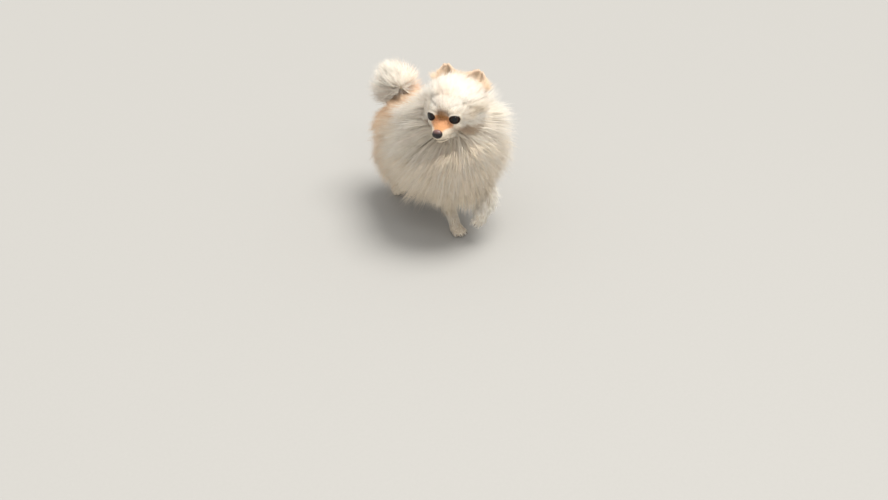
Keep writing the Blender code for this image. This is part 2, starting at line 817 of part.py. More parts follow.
FORELEG_RIGHT = (
    (-0.026, -0.028, 0.110, 0.0110, 0.0120),
    (-0.0235, -0.037, 0.095, 0.0138, 0.0150),
    (-0.0170, -0.047, 0.071, 0.0132, 0.0140),
    (-0.0095, -0.056, 0.045, 0.0126, 0.0124),
    (-0.0038, -0.061, 0.024, 0.0120, 0.0115),
    (-0.0010, -0.0643, 0.0085, 0.0115, 0.0080),
)
FORELEG_LEFT = (
    (0.024, -0.036, 0.116, 0.0110, 0.0120),
    (0.029, -0.055, 0.103, 0.0145, 0.0150),
    (0.0335, -0.081, 0.096, 0.0145, 0.0145),
    (0.0340, -0.102, 0.086, 0.0142, 0.0140),
    (0.0285, -0.1105, 0.070, 0.0136, 0.0128),
    (0.0195, -0.112, 0.054, 0.0126, 0.0114),
)
HINDLEG = (
    (0.029, 0.070, 0.114, 0.027, 0.036),
    (0.032, 0.068, 0.092, 0.030, 0.037),
    (0.034, 0.072, 0.070, 0.024, 0.028),
    (0.033, 0.087, 0.053, 0.0150, 0.0175),
    (0.031, 0.101, 0.039, 0.0112, 0.0112),
    (0.030, 0.099, 0.021, 0.0110, 0.0110),
    (0.030, 0.093, 0.0085, 0.0105, 0.0080),
)
STRIDE = {-1: 0.013, 1: -0.002}
RAISED_PAW = (Vector((-0.18, -0.08, -0.98)).normalized(), Vector((0.05, -0.99, 0.10)).normalized())
PAW_SIZE = (0.0135, 0.0155, 0.0105)
TOE_SIZE = (0.0042, 0.0068, 0.0066)
CLAW_LENGTH = 0.0042


def add_paw(bm, ankle, ahead, up):
    """A small round paw with four toes and their claws, ahead of and below the ankle."""
    side = ahead.cross(up).normalized()
    axes = (side, ahead, up)
    pad = ankle + ahead * 0.0035 - up * 0.0005
    add_ellipsoid(bm, pad, PAW_SIZE, axes, 16)
    for k in range(4):
        spread = (k - 1.5) * 0.0062
        reach = 0.0148 if k in (1, 2) else 0.0110
        toe = pad + side * spread + ahead * reach - up * 0.0028
        add_ellipsoid(bm, toe, TOE_SIZE, axes, 12)
        claw = toe + ahead * (TOE_SIZE[1] + CLAW_LENGTH * 0.15) - up * 0.0020
        add_ellipsoid(bm, claw, (0.0011, CLAW_LENGTH / 2, 0.0012), axes, 8)


def foreleg(name, stations, ahead, up, on_floor):
    bm = bmesh.new()
    add_limb(bm, stations)
    add_paw(bm, Vector(stations[-1][:3]), ahead, up)
    body, _ = fused(name, bm, "foreleg")
    if on_floor:
        cut_away(body, FLOOR, UP)
    return body


def hindleg_lie(p, n):
    """Down and back over the thigh, and longest behind it, where the coat forms breeches."""
    rear = ramp(n.y, -0.2, 0.7)
    return laid(n, BACK * 0.35 - UP, 0.019 + 0.010 * rear, 0.025 + 0.005 * rear)


def hindleg(name, side):
    step = STRIDE[side]
    stations = [(x * side, y + step * (1 - ramp(z, 0.02, 0.09)), z, w, h) for x, y, z, w, h in HINDLEG]
    bm = bmesh.new()
    add_limb(bm, stations)
    add_paw(bm, Vector(stations[-1][:3]), -BACK, UP)
    body, even = fused(name, bm, "hindleg")
    cut_away(body, FLOOR, UP)
    cut_away(body, Vector((0, 0, HIP_HEIGHT - HALF_GAP)), -UP)
    cut_away(body, Vector((0, HIP_FRONT + HALF_GAP, 0)), BACK)
    cut_away(body, LEFT * side * HALF_GAP, LEFT * side)
    limits = [
        stay_ahead(Vector((0, 0, HIP_HEIGHT)), -UP),
        stay_ahead(Vector((0, HIP_FRONT, 0)), BACK),
        stay_ahead(FLOOR, LEFT * side),
        stay_ahead(UP * BREECHES_HEIGHT, UP),
    ]

    def bare(p, n):
        inside = p.x * side < 0.012 and n.y < 0.4
        return p.z < BARE_BELOW_HOCK or p.z > HIP_HEIGHT - 0.003 or p.y < HIP_FRONT + 0.003 or inside

    grow_coat(body, even, "hindleg", bare, hindleg_lie, limits, more_seed=side)
    return body


def set_on_origin(nodes):
    """Moves every mesh so that the dog's box has its middle over the origin and its feet at z = 0."""
    corners = [v.co for node in nodes for v in node.data.vertices]
    low = Vector([min(c[i] for c in corners) for i in range(3)])
    high = Vector([max(c[i] for c in corners) for i in range(3)])
    move = Matrix.Translation((-(low.x + high.x) / 2, -(low.y + high.y) / 2, -low.z))
    for node in nodes:
        node.data.transform(move)


def finish(node, look):
    node.data.materials.clear()
    node.data.materials.append(look)
    for face in node.data.polygons:
        face.material_index = 0
    node.data.shade_smooth()
    node.data.set_sharp_from_angle(angle=math.radians(40))


def build():
    clear_scene()
    cream = material("cream_coat", CREAM, 0.85)
    apricot = material("apricot_coat", APRICOT, 0.85)
    pink = material("ear_leather", PINK, 0.70)
    brown = material("eye", DARK_BROWN, 0.08)
    black = material("nose_leather", NEAR_BLACK, 0.45)
    right = foreleg("foreleg_right", FORELEG_RIGHT, -BACK, UP, on_floor=True)
    left = foreleg("foreleg_left", FORELEG_LEFT, *RAISED_PAW, on_floor=False)
    looks = {
        torso([right, left]): cream,
        neck(): cream,
        head(): cream,
        tail(): apricot,
        ear("ear_left", 1): pink,
        ear("ear_right", -1): pink,
        eye("eye_left", 1): brown,
        eye("eye_right", -1): brown,
        nose(): black,
        right: cream,
        left: cream,
        hindleg("hindleg_right", -1): cream,
        hindleg("hindleg_left", 1): cream,
    }
    for node, look in looks.items():
        finish(node, look)
    set_on_origin(list(looks))


build()
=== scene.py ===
"""The looks of the Pomeranian: skin, eyes, nose, claws, whiskers and a full coat of solid tufts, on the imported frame.

Every place is worked out in the dog's own frame, metres and +Z up, where the dog faces -Y and its left is +X, and
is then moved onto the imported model. The file is laid out as an add-on and is run as a script.
"""

import math

import bmesh
import bpy
import numpy as np
from bpy.props import FloatProperty, FloatVectorProperty, PointerProperty
from mathutils import Matrix, Vector
from mathutils.kdtree import KDTree


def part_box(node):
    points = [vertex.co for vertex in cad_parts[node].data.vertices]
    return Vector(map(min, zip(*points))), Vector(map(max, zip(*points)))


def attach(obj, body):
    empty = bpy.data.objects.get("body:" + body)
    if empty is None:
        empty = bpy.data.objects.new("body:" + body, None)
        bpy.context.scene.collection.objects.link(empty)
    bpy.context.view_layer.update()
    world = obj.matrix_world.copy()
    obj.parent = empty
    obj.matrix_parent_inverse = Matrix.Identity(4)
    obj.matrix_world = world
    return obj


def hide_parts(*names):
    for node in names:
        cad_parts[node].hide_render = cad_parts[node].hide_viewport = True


bl_info = {
    "name": "Pomeranian",
    "version": (1, 0, 0),
    "blender": (4, 5, 0),
    "location": "3D View > Sidebar > Pomeranian",
    "description": "Dresses the packed model of a Pomeranian with skin, eyes, nose, claws, whiskers and coat",
    "category": "Add Mesh",
}

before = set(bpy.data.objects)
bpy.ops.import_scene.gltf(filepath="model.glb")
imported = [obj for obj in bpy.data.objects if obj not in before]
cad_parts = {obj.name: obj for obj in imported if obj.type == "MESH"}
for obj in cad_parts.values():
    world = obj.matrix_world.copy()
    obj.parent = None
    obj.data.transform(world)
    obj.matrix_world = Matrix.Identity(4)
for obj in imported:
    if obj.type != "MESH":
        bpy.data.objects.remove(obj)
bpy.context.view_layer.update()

UP = Vector((0, 0, 1))
BACK = Vector((0, 1, 0))
LEFT = Vector((1, 0, 0))
PLAIN_AXES = (LEFT, BACK, UP)
CHAIN_AXES = (BACK, LEFT, UP)

# The head's place and turn, and the places of what it carries, as forward, left and up in the head
HEAD_CENTRE = Vector((-0.019, -0.075, 0.2225))
HEAD_TURN = math.radians(-55)
HEAD_DIP = math.radians(1)
HEAD_TILT = math.radians(3)
EYE_PLACE = (0.0188, 0.0165, 0.0)
EYE_RADIUS = 0.0088
EYE_OUTWARD = math.radians(24)
EYE_OPENING = (0.0071, 0.0054)
LID_THICKNESS = 0.0011
NOSE_PLACE = (0.0440, 0.0, -0.0168)
NOSE_SIZE = (0.0058, 0.0080, 0.0068)
EAR_BASE = (-0.031, 0.0210, 0.0240)
EAR_TIP = {-1: (-0.047, 0.0250, 0.0520), 1: (-0.047, 0.0300, 0.0470)}
EAR_HALF_WIDTH = 0.0180
MOUTH = (
    (0.0448, 0.0010, -0.0268),
    (0.0412, 0.0068, -0.0270),
    (0.0335, 0.0116, -0.0264),
    (0.0255, 0.0146, -0.0256),
)


def head_way(forward, left, up):
    """A direction given in the head, as one in the dog's frame."""
    ahead = Vector((math.sin(HEAD_TURN), -math.cos(HEAD_TURN), 0))
    aside = Vector((math.cos(HEAD_TURN), math.sin(HEAD_TURN), 0))
    nose_way = ahead * math.cos(HEAD_DIP) - UP * math.sin(HEAD_DIP)
    level = ahead * math.sin(HEAD_DIP) + UP * math.cos(HEAD_DIP)
    left_way = aside * math.cos(HEAD_TILT) + level * math.sin(HEAD_TILT)
    crown_way = level * math.cos(HEAD_TILT) - aside * math.sin(HEAD_TILT)
    return nose_way * forward + left_way * left + crown_way * up


def head_point(forward, left, up):
    """A place given in the head, as one in the dog's frame."""
    return HEAD_CENTRE + head_way(forward, left, up)


HEAD_AXES = (head_way(1, 0, 0), head_way(0, 1, 0), head_way(0, 0, 1))


def eye_point(side):
    return head_point(EYE_PLACE[0], EYE_PLACE[1] * side, EYE_PLACE[2])


def eye_axes(side):
    """The way an eye looks, and its left and up."""
    look = head_way(math.cos(EYE_OUTWARD), side * math.sin(EYE_OUTWARD), 0.06).normalized()
    up = (HEAD_AXES[2] - look * HEAD_AXES[2].dot(look)).normalized()
    return look, up.cross(look), up


def packed_place():
    """The step from the dog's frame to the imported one, from where the left eye is in both."""
    low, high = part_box("eye_left")
    return (low + high) / 2 - eye_point(1)


TO_FRAME = packed_place()
FLESH_NODES = (
    "torso",
    "neck",
    "head",
    "tail",
    "ear_left",
    "ear_right",
    "foreleg_right",
    "foreleg_left",
    "hindleg_right",
    "hindleg_left",
)

# The lean body under the coat: x, y, z, half width and half height of each section
TORSO = (
    (0, -0.090, 0.132, 0.014, 0.016),
    (0, -0.075, 0.136, 0.027, 0.032),
    (0, -0.050, 0.140, 0.034, 0.042),
    (0, -0.010, 0.144, 0.037, 0.043),
    (0, 0.030, 0.146, 0.034, 0.037),
    (0, 0.065, 0.146, 0.034, 0.034),
    (0, 0.092, 0.142, 0.030, 0.031),
    (0, 0.110, 0.138, 0.018, 0.020),
)
NECK = (
    (0, -0.030, 0.150, 0.032, 0.036),
    (-0.003, -0.048, 0.175, 0.030, 0.032),
    (-0.009, -0.060, 0.196, 0.028, 0.028),
    (-0.014, -0.066, 0.212, 0.024, 0.024),
)
TAIL = (
    (0, 0.092, 0.150, 0.0085, 0.0085),
    (-0.002, 0.107, 0.160, 0.0085, 0.0085),
    (-0.007, 0.118, 0.176, 0.0080, 0.0080),
    (-0.012, 0.120, 0.193, 0.0072, 0.0072),
    (-0.016, 0.112, 0.206, 0.0062, 0.0062),
    (-0.019, 0.099, 0.210, 0.0052, 0.0052),
    (-0.021, 0.088, 0.204, 0.0035, 0.0035),
)
FORELEG_RIGHT = (
    (-0.024, -0.028, 0.118, 0.0150, 0.0150),
    (-0.0235, -0.037, 0.095, 0.0105, 0.0115),
    (-0.0170, -0.047, 0.071, 0.0086, 0.0092),
    (-0.0095, -0.056, 0.045, 0.0078, 0.0078),
    (-0.0038, -0.061, 0.024, 0.0078, 0.0076),
    (-0.0010, -0.0643, 0.0085, 0.0090, 0.0065),
)
FORELEG_LEFT = (
    (0.024, -0.036, 0.122, 0.0150, 0.0150),
    (0.029, -0.055, 0.103, 0.0115, 0.0120),
    (0.0335, -0.081, 0.096, 0.0098, 0.0098),
    (0.0340, -0.102, 0.086, 0.0092, 0.0090),
    (0.0285, -0.1105, 0.070, 0.0088, 0.0082),
    (0.0195, -0.112, 0.054, 0.0086, 0.0076),
)
HINDLEG = (
    (0.022, 0.070, 0.128, 0.0200, 0.0260),
    (0.025, 0.068, 0.105, 0.0170, 0.0240),
    (0.028, 0.072, 0.078, 0.0120, 0.0160),
    (0.029, 0.087, 0.055, 0.0082, 0.0100),
    (0.029, 0.101, 0.039, 0.0068, 0.0072),
    (0.029, 0.098, 0.021, 0.0068, 0.0068),
    (0.029, 0.092, 0.0085, 0.0075, 0.0062),
)
STRIDE = {-1: 0.013, 1: -0.002}
PAW_SIZE = (0.0105, 0.0125, 0.0082)
TOE_SIZE = (0.0036, 0.0060, 0.0052)
RAISED_PAW = (Vector((-0.18, -0.08, -0.98)).normalized(), Vector((0.05, -0.99, 0.10)).normalized())

# The bare head: balls as forward, left and up, and their radii
SKULL = (
    ((-0.012, 0, 0.008), (0.030, 0.028, 0.027)),
    ((0.006, 0, 0.010), (0.0175, 0.0215, 0.0160)),
    ((0.000, 0, -0.008), (0.024, 0.020, 0.018)),
)
CHEEK = ((-0.002, 0.0175, -0.011), (0.018, 0.0125, 0.0135))
BROW = ((0.0135, 0.0130, 0.0090), (0.0110, 0.0105, 0.0062))
TEMPLE = ((0.0085, 0.0230, 0.0005), (0.0125, 0.0080, 0.0100))
CHEEKBONE = ((0.0155, 0.0175, -0.0100), (0.0115, 0.0095, 0.0080))
STOP = ((0.0165, 0, 0.0010), (0.0100, 0.0115, 0.0100))
MUZZLE = (
    (0.008, 0, -0.0110, 0.0222, 0.0160),
    (0.018, 0, -0.0135, 0.0205, 0.0132),
    (0.028, 0, -0.0165, 0.0166, 0.0104),
    (0.036, 0, -0.0188, 0.0128, 0.0084),
    (0.0410, 0, -0.0203, 0.0096, 0.0066),
)
JAW = (
    (-0.004, 0, -0.0255, 0.0155, 0.0080),
    (0.014, 0, -0.0272, 0.0135, 0.0064),
    (0.027, 0, -0.0282, 0.0108, 0.0052),
    (0.0355, 0, -0.0286, 0.0078, 0.0044),
    (0.0396, 0, -0.0282, 0.0048, 0.0034),
)
FLEW = ((0.0335, 0.0066, -0.0226), (0.0085, 0.0066, 0.0054))

# The coat's true outline: centres and radii of balls that it fills
OUTLINE = (
    ((-0.002, -0.060, 0.180), (0.108, 0.072, 0.065)),
    ((0.012, -0.040, 0.152), (0.0965, 0.078, 0.072)),
    ((0.003, -0.046, 0.206), (0.088, 0.058, 0.053)),
    ((0.004, -0.018, 0.196), (0.064, 0.056, 0.050)),
    ((0.001, -0.042, 0.139), (0.108, 0.095, 0.085)),
    ((0, 0.010, 0.130), (0.096, 0.100, 0.079)),
    ((0, 0.066, 0.122), (0.086, 0.082, 0.078)),
    ((-0.039, 0.018, 0.093), (0.052, 0.086, 0.063)),
    ((0.038, 0.018, 0.097), (0.051, 0.084, 0.059)),
    ((-0.033, 0.084, 0.080), (0.045, 0.056, 0.052)),
    ((0.033, 0.084, 0.080), (0.045, 0.056, 0.052)),
    ((0, -0.082, 0.106), (0.060, 0.052, 0.056)),
)
HEAD_OUTLINE = ((-0.015, 0, 0.002), (0.048, 0.058, 0.049))
PLUME_OUTLINE = ((-0.018, 0.107, 0.197), (0.051, 0.052, 0.050))


def linear(hex_colour):
    """An sRGB hex colour as linear red, green and blue."""
    shares = [int(hex_colour[i : i + 2], 16) / 255 for i in (1, 3, 5)]
    return tuple(s / 12.92 if s <= 0.04045 else ((s + 0.055) / 1.055) ** 2.4 for s in shares)


# What a user may change


def colour_property(name, description, hex_colour):
    return FloatVectorProperty(
        name=name, description=description, subtype="COLOR", size=3, min=0, max=1, default=linear(hex_colour)
    )


class CoatSettings(bpy.types.PropertyGroup):
    """The coat's colours, and how full it is."""

    cream: colour_property("Cream", "Colour of most of the coat", "#F5E7D2")
    # On the crown, the upper ruff and the raised forepaw this white is painted light; elsewhere it is the coat's own
    # colour.
    white: colour_property("White", "Colour of the crown, the chin and the plume's tips", "#FDF8EF")
    apricot: colour_property("Apricot", "Colour of the rump and the ears", "#F6CB9E")
    orange: colour_property("Orange", "Colour of the muzzle's bridge and the root of the tail", "#F0B078")
    # This tan also paints shade: the band along the lower cheeks, and part of the patch in the stop between the eyes.
    tan: colour_property("Tan", "Colour of the patch between the eyes", "#9C6C36")
    # Painted shade: this grey beige darkens the lower chest, belly and forelegs, where shade falls under the body.
    painted_shade_grey: colour_property("Grey beige", "Colour of the lower chest and the belly", "#DDD0B8")
    fullness: FloatProperty(
        name="Fullness", description="Share of the full number of tufts", default=1.0, min=0.05, max=1.5
    )
    fineness: FloatProperty(
        name="Tuft width", description="Width of a tuft, as a share of the usual width", default=1.0, min=0.3, max=3
    )


class FaceSettings(bpy.types.PropertyGroup):
    """The colours of eyes, nose and bare skin, and the length of the whiskers."""

    iris: colour_property("Iris", "Colour of the iris", "#41241A")
    rim: colour_property("Rim", "Colour of the eyelids' edges and the lips", "#1E1513")
    ear_skin: colour_property("Ear skin", "Colour inside the ears", "#FFE8D8")
    # Painted highlight: the top's lighter colour stands for light from above; the front colour is the leather's own.
    nose_top_highlight: colour_property("Nose, top", "Colour of the nose leather's top", "#87645F")
    nose_front: colour_property("Nose, front", "Colour of the nose leather's front", "#1A1112")
    claw: colour_property("Claw", "Colour of the claws", "#4A3A32")
    whisker_length: FloatProperty(
        name="Whisker length",
        description="Length of the longest whiskers",
        default=0.030,
        min=0.005,
        max=0.06,
        unit="LENGTH",
        subtype="DISTANCE",
    )


class StageSettings(bpy.types.PropertyGroup):
    """The floor and the lights."""

    floor: colour_property("Floor", "Colour of the floor", "#B2B1AE")
    key_strength: FloatProperty(
        name="Key light", description="Strength of the wide soft light above, in W/m2", default=3.0, min=0, max=20
    )
    room_strength: FloatProperty(
        name="Room light", description="Strength of the even light from all round", default=0.74, min=0, max=10
    )
    catch_power: FloatProperty(
        name="Catch light", description="Power of the small light in the eyes", default=1.2, min=0, unit="POWER"
    )
    lens: FloatProperty(
        name="Lens", description="Focal length on a 36 mm sensor", default=27.97, min=10, max=300, unit="CAMERA"
    )


def settings():
    return bpy.context.scene.pomeranian


class PomeranianSettings(bpy.types.PropertyGroup):
    """All the settings of the dog."""

    coat: PointerProperty(type=CoatSettings, name="Coat", description="The coat's settings")
    face: PointerProperty(type=FaceSettings, name="Face", description="The face's settings")
    stage: PointerProperty(type=StageSettings, name="Stage", description="The stage's settings")


# Shapes


def new_object(name, bm):
    mesh = bpy.data.meshes.new(name)
    bm.to_mesh(mesh)
    bm.free()
    made = bpy.data.objects.new(name, mesh)
    bpy.context.scene.collection.objects.link(made)
    return made


def bake_modifiers(thing):
    """Puts the mesh that the modifiers make in place of the object's own."""
    graph = bpy.context.evaluated_depsgraph_get()
    made = bpy.data.meshes.new_from_object(thing.evaluated_get(graph))
    thing.modifiers.clear()
    thing.data = made


def set_in_frame(thing, material, slot, *nodes):
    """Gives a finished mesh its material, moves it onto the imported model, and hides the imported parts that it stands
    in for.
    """
    mesh = thing.data
    mesh.materials.clear()
    mesh.materials.append(material)
    mesh.polygons.foreach_set("material_index", np.zeros(len(mesh.polygons), np.int32))
    mesh.polygons.foreach_set("use_smooth", np.ones(len(mesh.polygons), bool))
    mesh.transform(Matrix.Translation(TO_FRAME))
    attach(thing, "root")
    if nodes:
        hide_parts(*nodes)
    return thing


def smooth_row(stations, steps):
    """Rows between the stations on a smooth curve through them."""
    rows = [Vector(s) for s in stations]
    out = []
    for i in range(len(rows) - 1):
        a, b = rows[max(i - 1, 0)], rows[i]
        c, d = rows[i + 1], rows[min(i + 2, len(rows) - 1)]
        for k in range(steps):
            t = k / steps
            out.append(0.5 * (2 * b + (c - a) * t + (2 * a - 5 * b + 4 * c - d) * t**2 + (3 * b - a - 3 * c + d) * t**3))
    out.append(rows[-1])
    return out


def add_ball(bm, centre, radii, axes=PLAIN_AXES, segments=16):
    """Adds a ball scaled to radii along the three axes."""
    turn = Matrix([list(axis) for axis in axes]).transposed().to_4x4()
    size = Matrix.Diagonal((*radii, 1))
    ball = bmesh.new()
    bmesh.ops.create_uvsphere(
        ball,
        u_segments=segments,
        v_segments=segments // 2 + 2,
        radius=1.0,
        matrix=Matrix.Translation(centre) @ turn @ size,
    )
    take_in(bm, ball)


def take_in(bm, other):
    """Moves another bmesh's shape into this one."""
    mesh = bpy.data.meshes.new("passing")
    other.to_mesh(mesh)
    other.free()
    bm.from_mesh(mesh)
    bpy.data.meshes.remove(mesh)


def add_chain(bm, stations, axes=CHAIN_AXES, steps=5):
    """Overlapping balls along stations of x, y, z, half width and half height."""
    for row in smooth_row(stations, steps):
        along = min(row[3], row[4])
        add_ball(bm, Vector(row[:3]), (along, row[3], row[4]), axes)


def head_stations(stations):
    return [(*head_point(f, l, u), width, height) for f, l, u, width, height in stations]


def fuse(thing, voxel, smoothing):
    """Makes overlapping closed shapes one smooth closed surface."""
    remesh = thing.modifiers.new("fuse", "REMESH")
    remesh.mode = "VOXEL"
    remesh.voxel_size = voxel
    ease = thing.modifiers.new("ease", "SMOOTH")
    ease.factor = 0.5
    ease.iterations = smoothing
    bake_modifiers(thing)


def boolean(body, operation, others):
    """One Boolean of the body with all the others, which are removed afterwards."""
    group = bpy.data.collections.new(body.name + "_pieces")
    bpy.context.scene.collection.children.link(group)
    for other in others:
        bpy.context.scene.collection.objects.unlink(other)
        group.objects.link(other)
    join = body.modifiers.new("join", "BOOLEAN")
    join.operation = operation
    join.operand_type = "COLLECTION"
    join.collection = group
    join.solver = "MANIFOLD"
    bake_modifiers(body)
    for other in others:
        bpy.data.objects.remove(other)
    bpy.data.collections.remove(group)


# Materials


def add_node(tree, kind, values=None, links=None, **facts):
    """A node with its properties, its input values and what its inputs are linked from."""
    node = tree.nodes.new(kind)
    for name, value in facts.items():
        setattr(node, name, value)
    for name, value in (values or {}).items():
        node.inputs[name].default_value = value
    for name, source in (links or {}).items():
        tree.links.new(source, node.inputs[name])
    return node


def new_material(name):
    """An empty material with a Principled shader linked to its output."""
    made = bpy.data.materials.new(name)
    made.use_nodes = True
    tree = made.node_tree
    tree.nodes.clear()
    shader = add_node(tree, "ShaderNodeBsdfPrincipled")
    add_node(tree, "ShaderNodeOutputMaterial", links={"Surface": shader.outputs["BSDF"]})
    return made, tree, shader


def set_values(shader, **values):
    for name, value in values.items():
        shader.inputs[name.replace("_", " ")].default_value = value


def set_ramp(node, *stops):
    """Fills a colour ramp with (position, colour) stops."""
    points = node.color_ramp.elements
    while len(points) > 1:
        points.remove(points[-1])
    points[0].position = stops[0][0]
    points[0].color = (*stops[0][1], 1)
    for position, colour in stops[1:]:
        points.new(position).color = (*colour, 1)
    return node


def coat_material():
    """Keratin guard hair over underwool. Fine hair scatters light softly, so it is rough, with a faint silky sheen."""
    made, tree, shader = new_material("keratin_hair")
    colour = add_node(tree, "ShaderNodeAttribute", attribute_name="Coat")
    place = add_node(tree, "ShaderNodeTexCoord")
    # Hair colour drifts over about 9 mm, as between one lock and the next
    drift = add_node(
        tree, "ShaderNodeTexNoise", {"Scale": 1 / 0.009, "Detail": 3.0}, {"Vector": place.outputs["Object"]}
    )
    shade = add_node(
        tree,
        "ShaderNodeMapRange",
        {"From Min": 0.3, "From Max": 0.7, "To Min": 0.94, "To Max": 1.05},
        {"Value": drift.outputs["Fac"]},
    )
    mixed = add_node(tree, "ShaderNodeVectorMath", operation="SCALE")
    tree.links.new(colour.outputs["Color"], mixed.inputs[0])
    tree.links.new(shade.outputs["Result"], mixed.inputs["Scale"])
    tree.links.new(mixed.outputs["Vector"], shader.inputs["Base Color"])
    set_values(shader, Roughness=0.62, IOR=1.55, Specular_IOR_Level=0.30, Sheen_Weight=0.25, Sheen_Roughness=0.45)
    return made


def skin_material():
    """Skin with flat short hair. Oily skin gives a low gloss, and the flat hair a fine streaked bump."""
    made, tree, shader = new_material("skin_with_short_hair")
    colour = add_node(tree, "ShaderNodeAttribute", attribute_name="Coat")
    place = add_node(tree, "ShaderNodeTexCoord")
    # Short hairs lie about 0.35 mm apart
    hairs = add_node(
        tree, "ShaderNodeTexNoise", {"Scale": 1 / 0.0007, "Detail": 4.0}, {"Vector": place.outputs["Object"]}
    )
    bump = add_node(
        tree, "ShaderNodeBump", {"Strength": 0.45, "Distance": 0.0004}, {"Height": hairs.outputs["Fac"]}
    )
    # The same noise that makes the bump darkens the colour in its hollows: painted shade between the short hairs.
    shade = add_node(
        tree,
        "ShaderNodeMapRange",
        {"From Min": 0.3, "From Max": 0.7, "To Min": 0.82, "To Max": 1.06},
        {"Value": hairs.outputs["Fac"]},
    )
    mixed = add_node(tree, "ShaderNodeVectorMath", operation="SCALE")
    tree.links.new(colour.outputs["Color"], mixed.inputs[0])
    tree.links.new(shade.outputs["Result"], mixed.inputs["Scale"])
    tree.links.new(mixed.outputs["Vector"], shader.inputs["Base Color"])
    tree.links.new(bump.outputs["Normal"], shader.inputs["Normal"])
    set_values(shader, Roughness=0.60, IOR=1.45, Specular_IOR_Level=0.35)
    return made


def eye_material(iris):
    """A wet eye: a dark brown iris round a wide pupil, under a clear glossy cornea that catches the light."""
    made, tree, shader = new_material("wet_cornea")
    gaze = add_node(tree, "ShaderNodeAttribute", attribute_name="Gaze")
    deep = tuple(c * 0.35 for c in iris)
    # Gaze is 1 at the middle of the pupil and falls towards the white
    rings = set_ramp(
        add_node(tree, "ShaderNodeValToRGB", links={"Fac": gaze.outputs["Fac"]}),
        (0.0, (0.16, 0.11, 0.09)),
        (0.60, (0.10, 0.06, 0.05)),
        (0.66, (0.004, 0.003, 0.003)),
        (0.74, deep),
        (0.82, iris),
        (0.880, deep),
        (0.895, (0.002, 0.002, 0.002)),
        (1.0, (0.0015, 0.0015, 0.0015)),
    )
    place = add_node(tree, "ShaderNodeTexCoord")
    # Fibres of the iris are about 0.3 mm apart
    fibres = add_node(
        tree, "ShaderNodeTexNoise", {"Scale": 1 / 0.0006, "Detail": 4.0}, {"Vector": place.outputs["Object"]}
    )
    shade = add_node(
        tree,
        "ShaderNodeMapRange",
        {"From Min": 0.3, "From Max": 0.7, "To Min": 0.6, "To Max": 1.3},
        {"Value": fibres.outputs["Fac"]},
    )
    mixed = add_node(tree, "ShaderNodeVectorMath", operation="SCALE")
    tree.links.new(rings.outputs["Color"], mixed.inputs[0])
    tree.links.new(shade.outputs["Result"], mixed.inputs["Scale"])
    tree.links.new(mixed.outputs["Vector"], shader.inputs["Base Color"])
    set_values(shader, Roughness=0.35, IOR=1.38, Specular_IOR_Level=0.2, Coat_Weight=0.9, Coat_Roughness=0.02, Coat_IOR=1.38)
    return made


def nose_material(top, front):
    """Nose leather: thick bare skin in small pebbles, damp enough to shine between them."""
    made, tree, shader = new_material("damp_nose_leather")
    height = add_node(tree, "ShaderNodeAttribute", attribute_name="Height")
    # Painted highlight: the colour runs from the leather's dark front to a lighter top, where light from above falls.
    colours = set_ramp(
        add_node(tree, "ShaderNodeValToRGB", links={"Fac": height.outputs["Fac"]}), (0.66, front), (0.98, top)
    )
    place = add_node(tree, "ShaderNodeTexCoord")
    # Pebbles are about 0.7 mm across
    pebbles = add_node(
        tree,
        "ShaderNodeTexVoronoi",
        {"Scale": 1 / 0.0007},
        {"Vector": place.outputs["Object"]},
        feature="SMOOTH_F1",
    )
    bump = add_node(
        tree,
        "ShaderNodeBump",
        {"Strength": 0.55, "Distance": 0.0002},
        {"Height": pebbles.outputs["Distance"]},
        invert=True,
    )
    tree.links.new(colours.outputs["Color"], shader.inputs["Base Color"])
    tree.links.new(bump.outputs["Normal"], shader.inputs["Normal"])
    set_values(shader, Roughness=0.34, IOR=1.45, Coat_Weight=0.35, Coat_Roughness=0.25)
    return made


def bare_skin_material(name, colour, roughness, grain):
    """Dark bare skin or horn: smooth and slightly damp, with fine creases that break its gloss."""
    made, tree, shader = new_material(name)
    place = add_node(tree, "ShaderNodeTexCoord")
    creases = add_node(
        tree, "ShaderNodeTexNoise", {"Scale": 1 / grain, "Detail": 3.0}, {"Vector": place.outputs["Object"]}
    )
    # The same noise makes the bump, so the creases' hollows are painted darker and their ridges lighter: painted shade
    # and light.
    colours = set_ramp(
        add_node(tree, "ShaderNodeValToRGB", links={"Fac": creases.outputs["Fac"]}),
        (0.3, tuple(c * 0.65 for c in colour)),
        (0.7, tuple(min(1, c * 1.35) for c in colour)),
    )
    bump = add_node(
        tree, "ShaderNodeBump", {"Strength": 0.4, "Distance": grain / 4}, {"Height": creases.outputs["Fac"]}
    )
    tree.links.new(colours.outputs["Color"], shader.inputs["Base Color"])
    tree.links.new(bump.outputs["Normal"], shader.inputs["Normal"])
    set_values(shader, Roughness=roughness, IOR=1.5)
    return made


def floor_material(colour):
    """Matt painted board: a pale even floor that takes a soft shadow and shows no gloss."""
    made, tree, shader = new_material("matt_painted_board")
    place = add_node(tree, "ShaderNodeTexCoord")
    grain = add_node(
        tree, "ShaderNodeTexNoise", {"Scale": 1 / 0.004, "Detail": 2.0}, {"Vector": place.outputs["Object"]}
    )
    colours = set_ramp(
        add_node(tree, "ShaderNodeValToRGB", links={"Fac": grain.outputs["Fac"]}),
        (0.3, tuple(c * 0.985 for c in colour)),
        (0.7, colour),
    )
    tree.links.new(colours.outputs["Color"], shader.inputs["Base Color"])
    set_values(shader, Roughness=0.9, IOR=1.45, Specular_IOR_Level=0.2)
    return made


# The coat's colours with painted light and shade, the same on skin and coat


def ramp(value, low, high):
    """0 at low, 1 at high and smooth between, for arrays."""
    t = np.clip((value - low) / (high - low), 0, 1)
    return t * t * (3 - 2 * t)


def near(places, centre, radii, edge=0.5):
    """1 inside a ball and 0 outside it, softly."""
    return 1 - ramp(ball_distance(places, centre, radii), 1 - edge, 1 + edge)


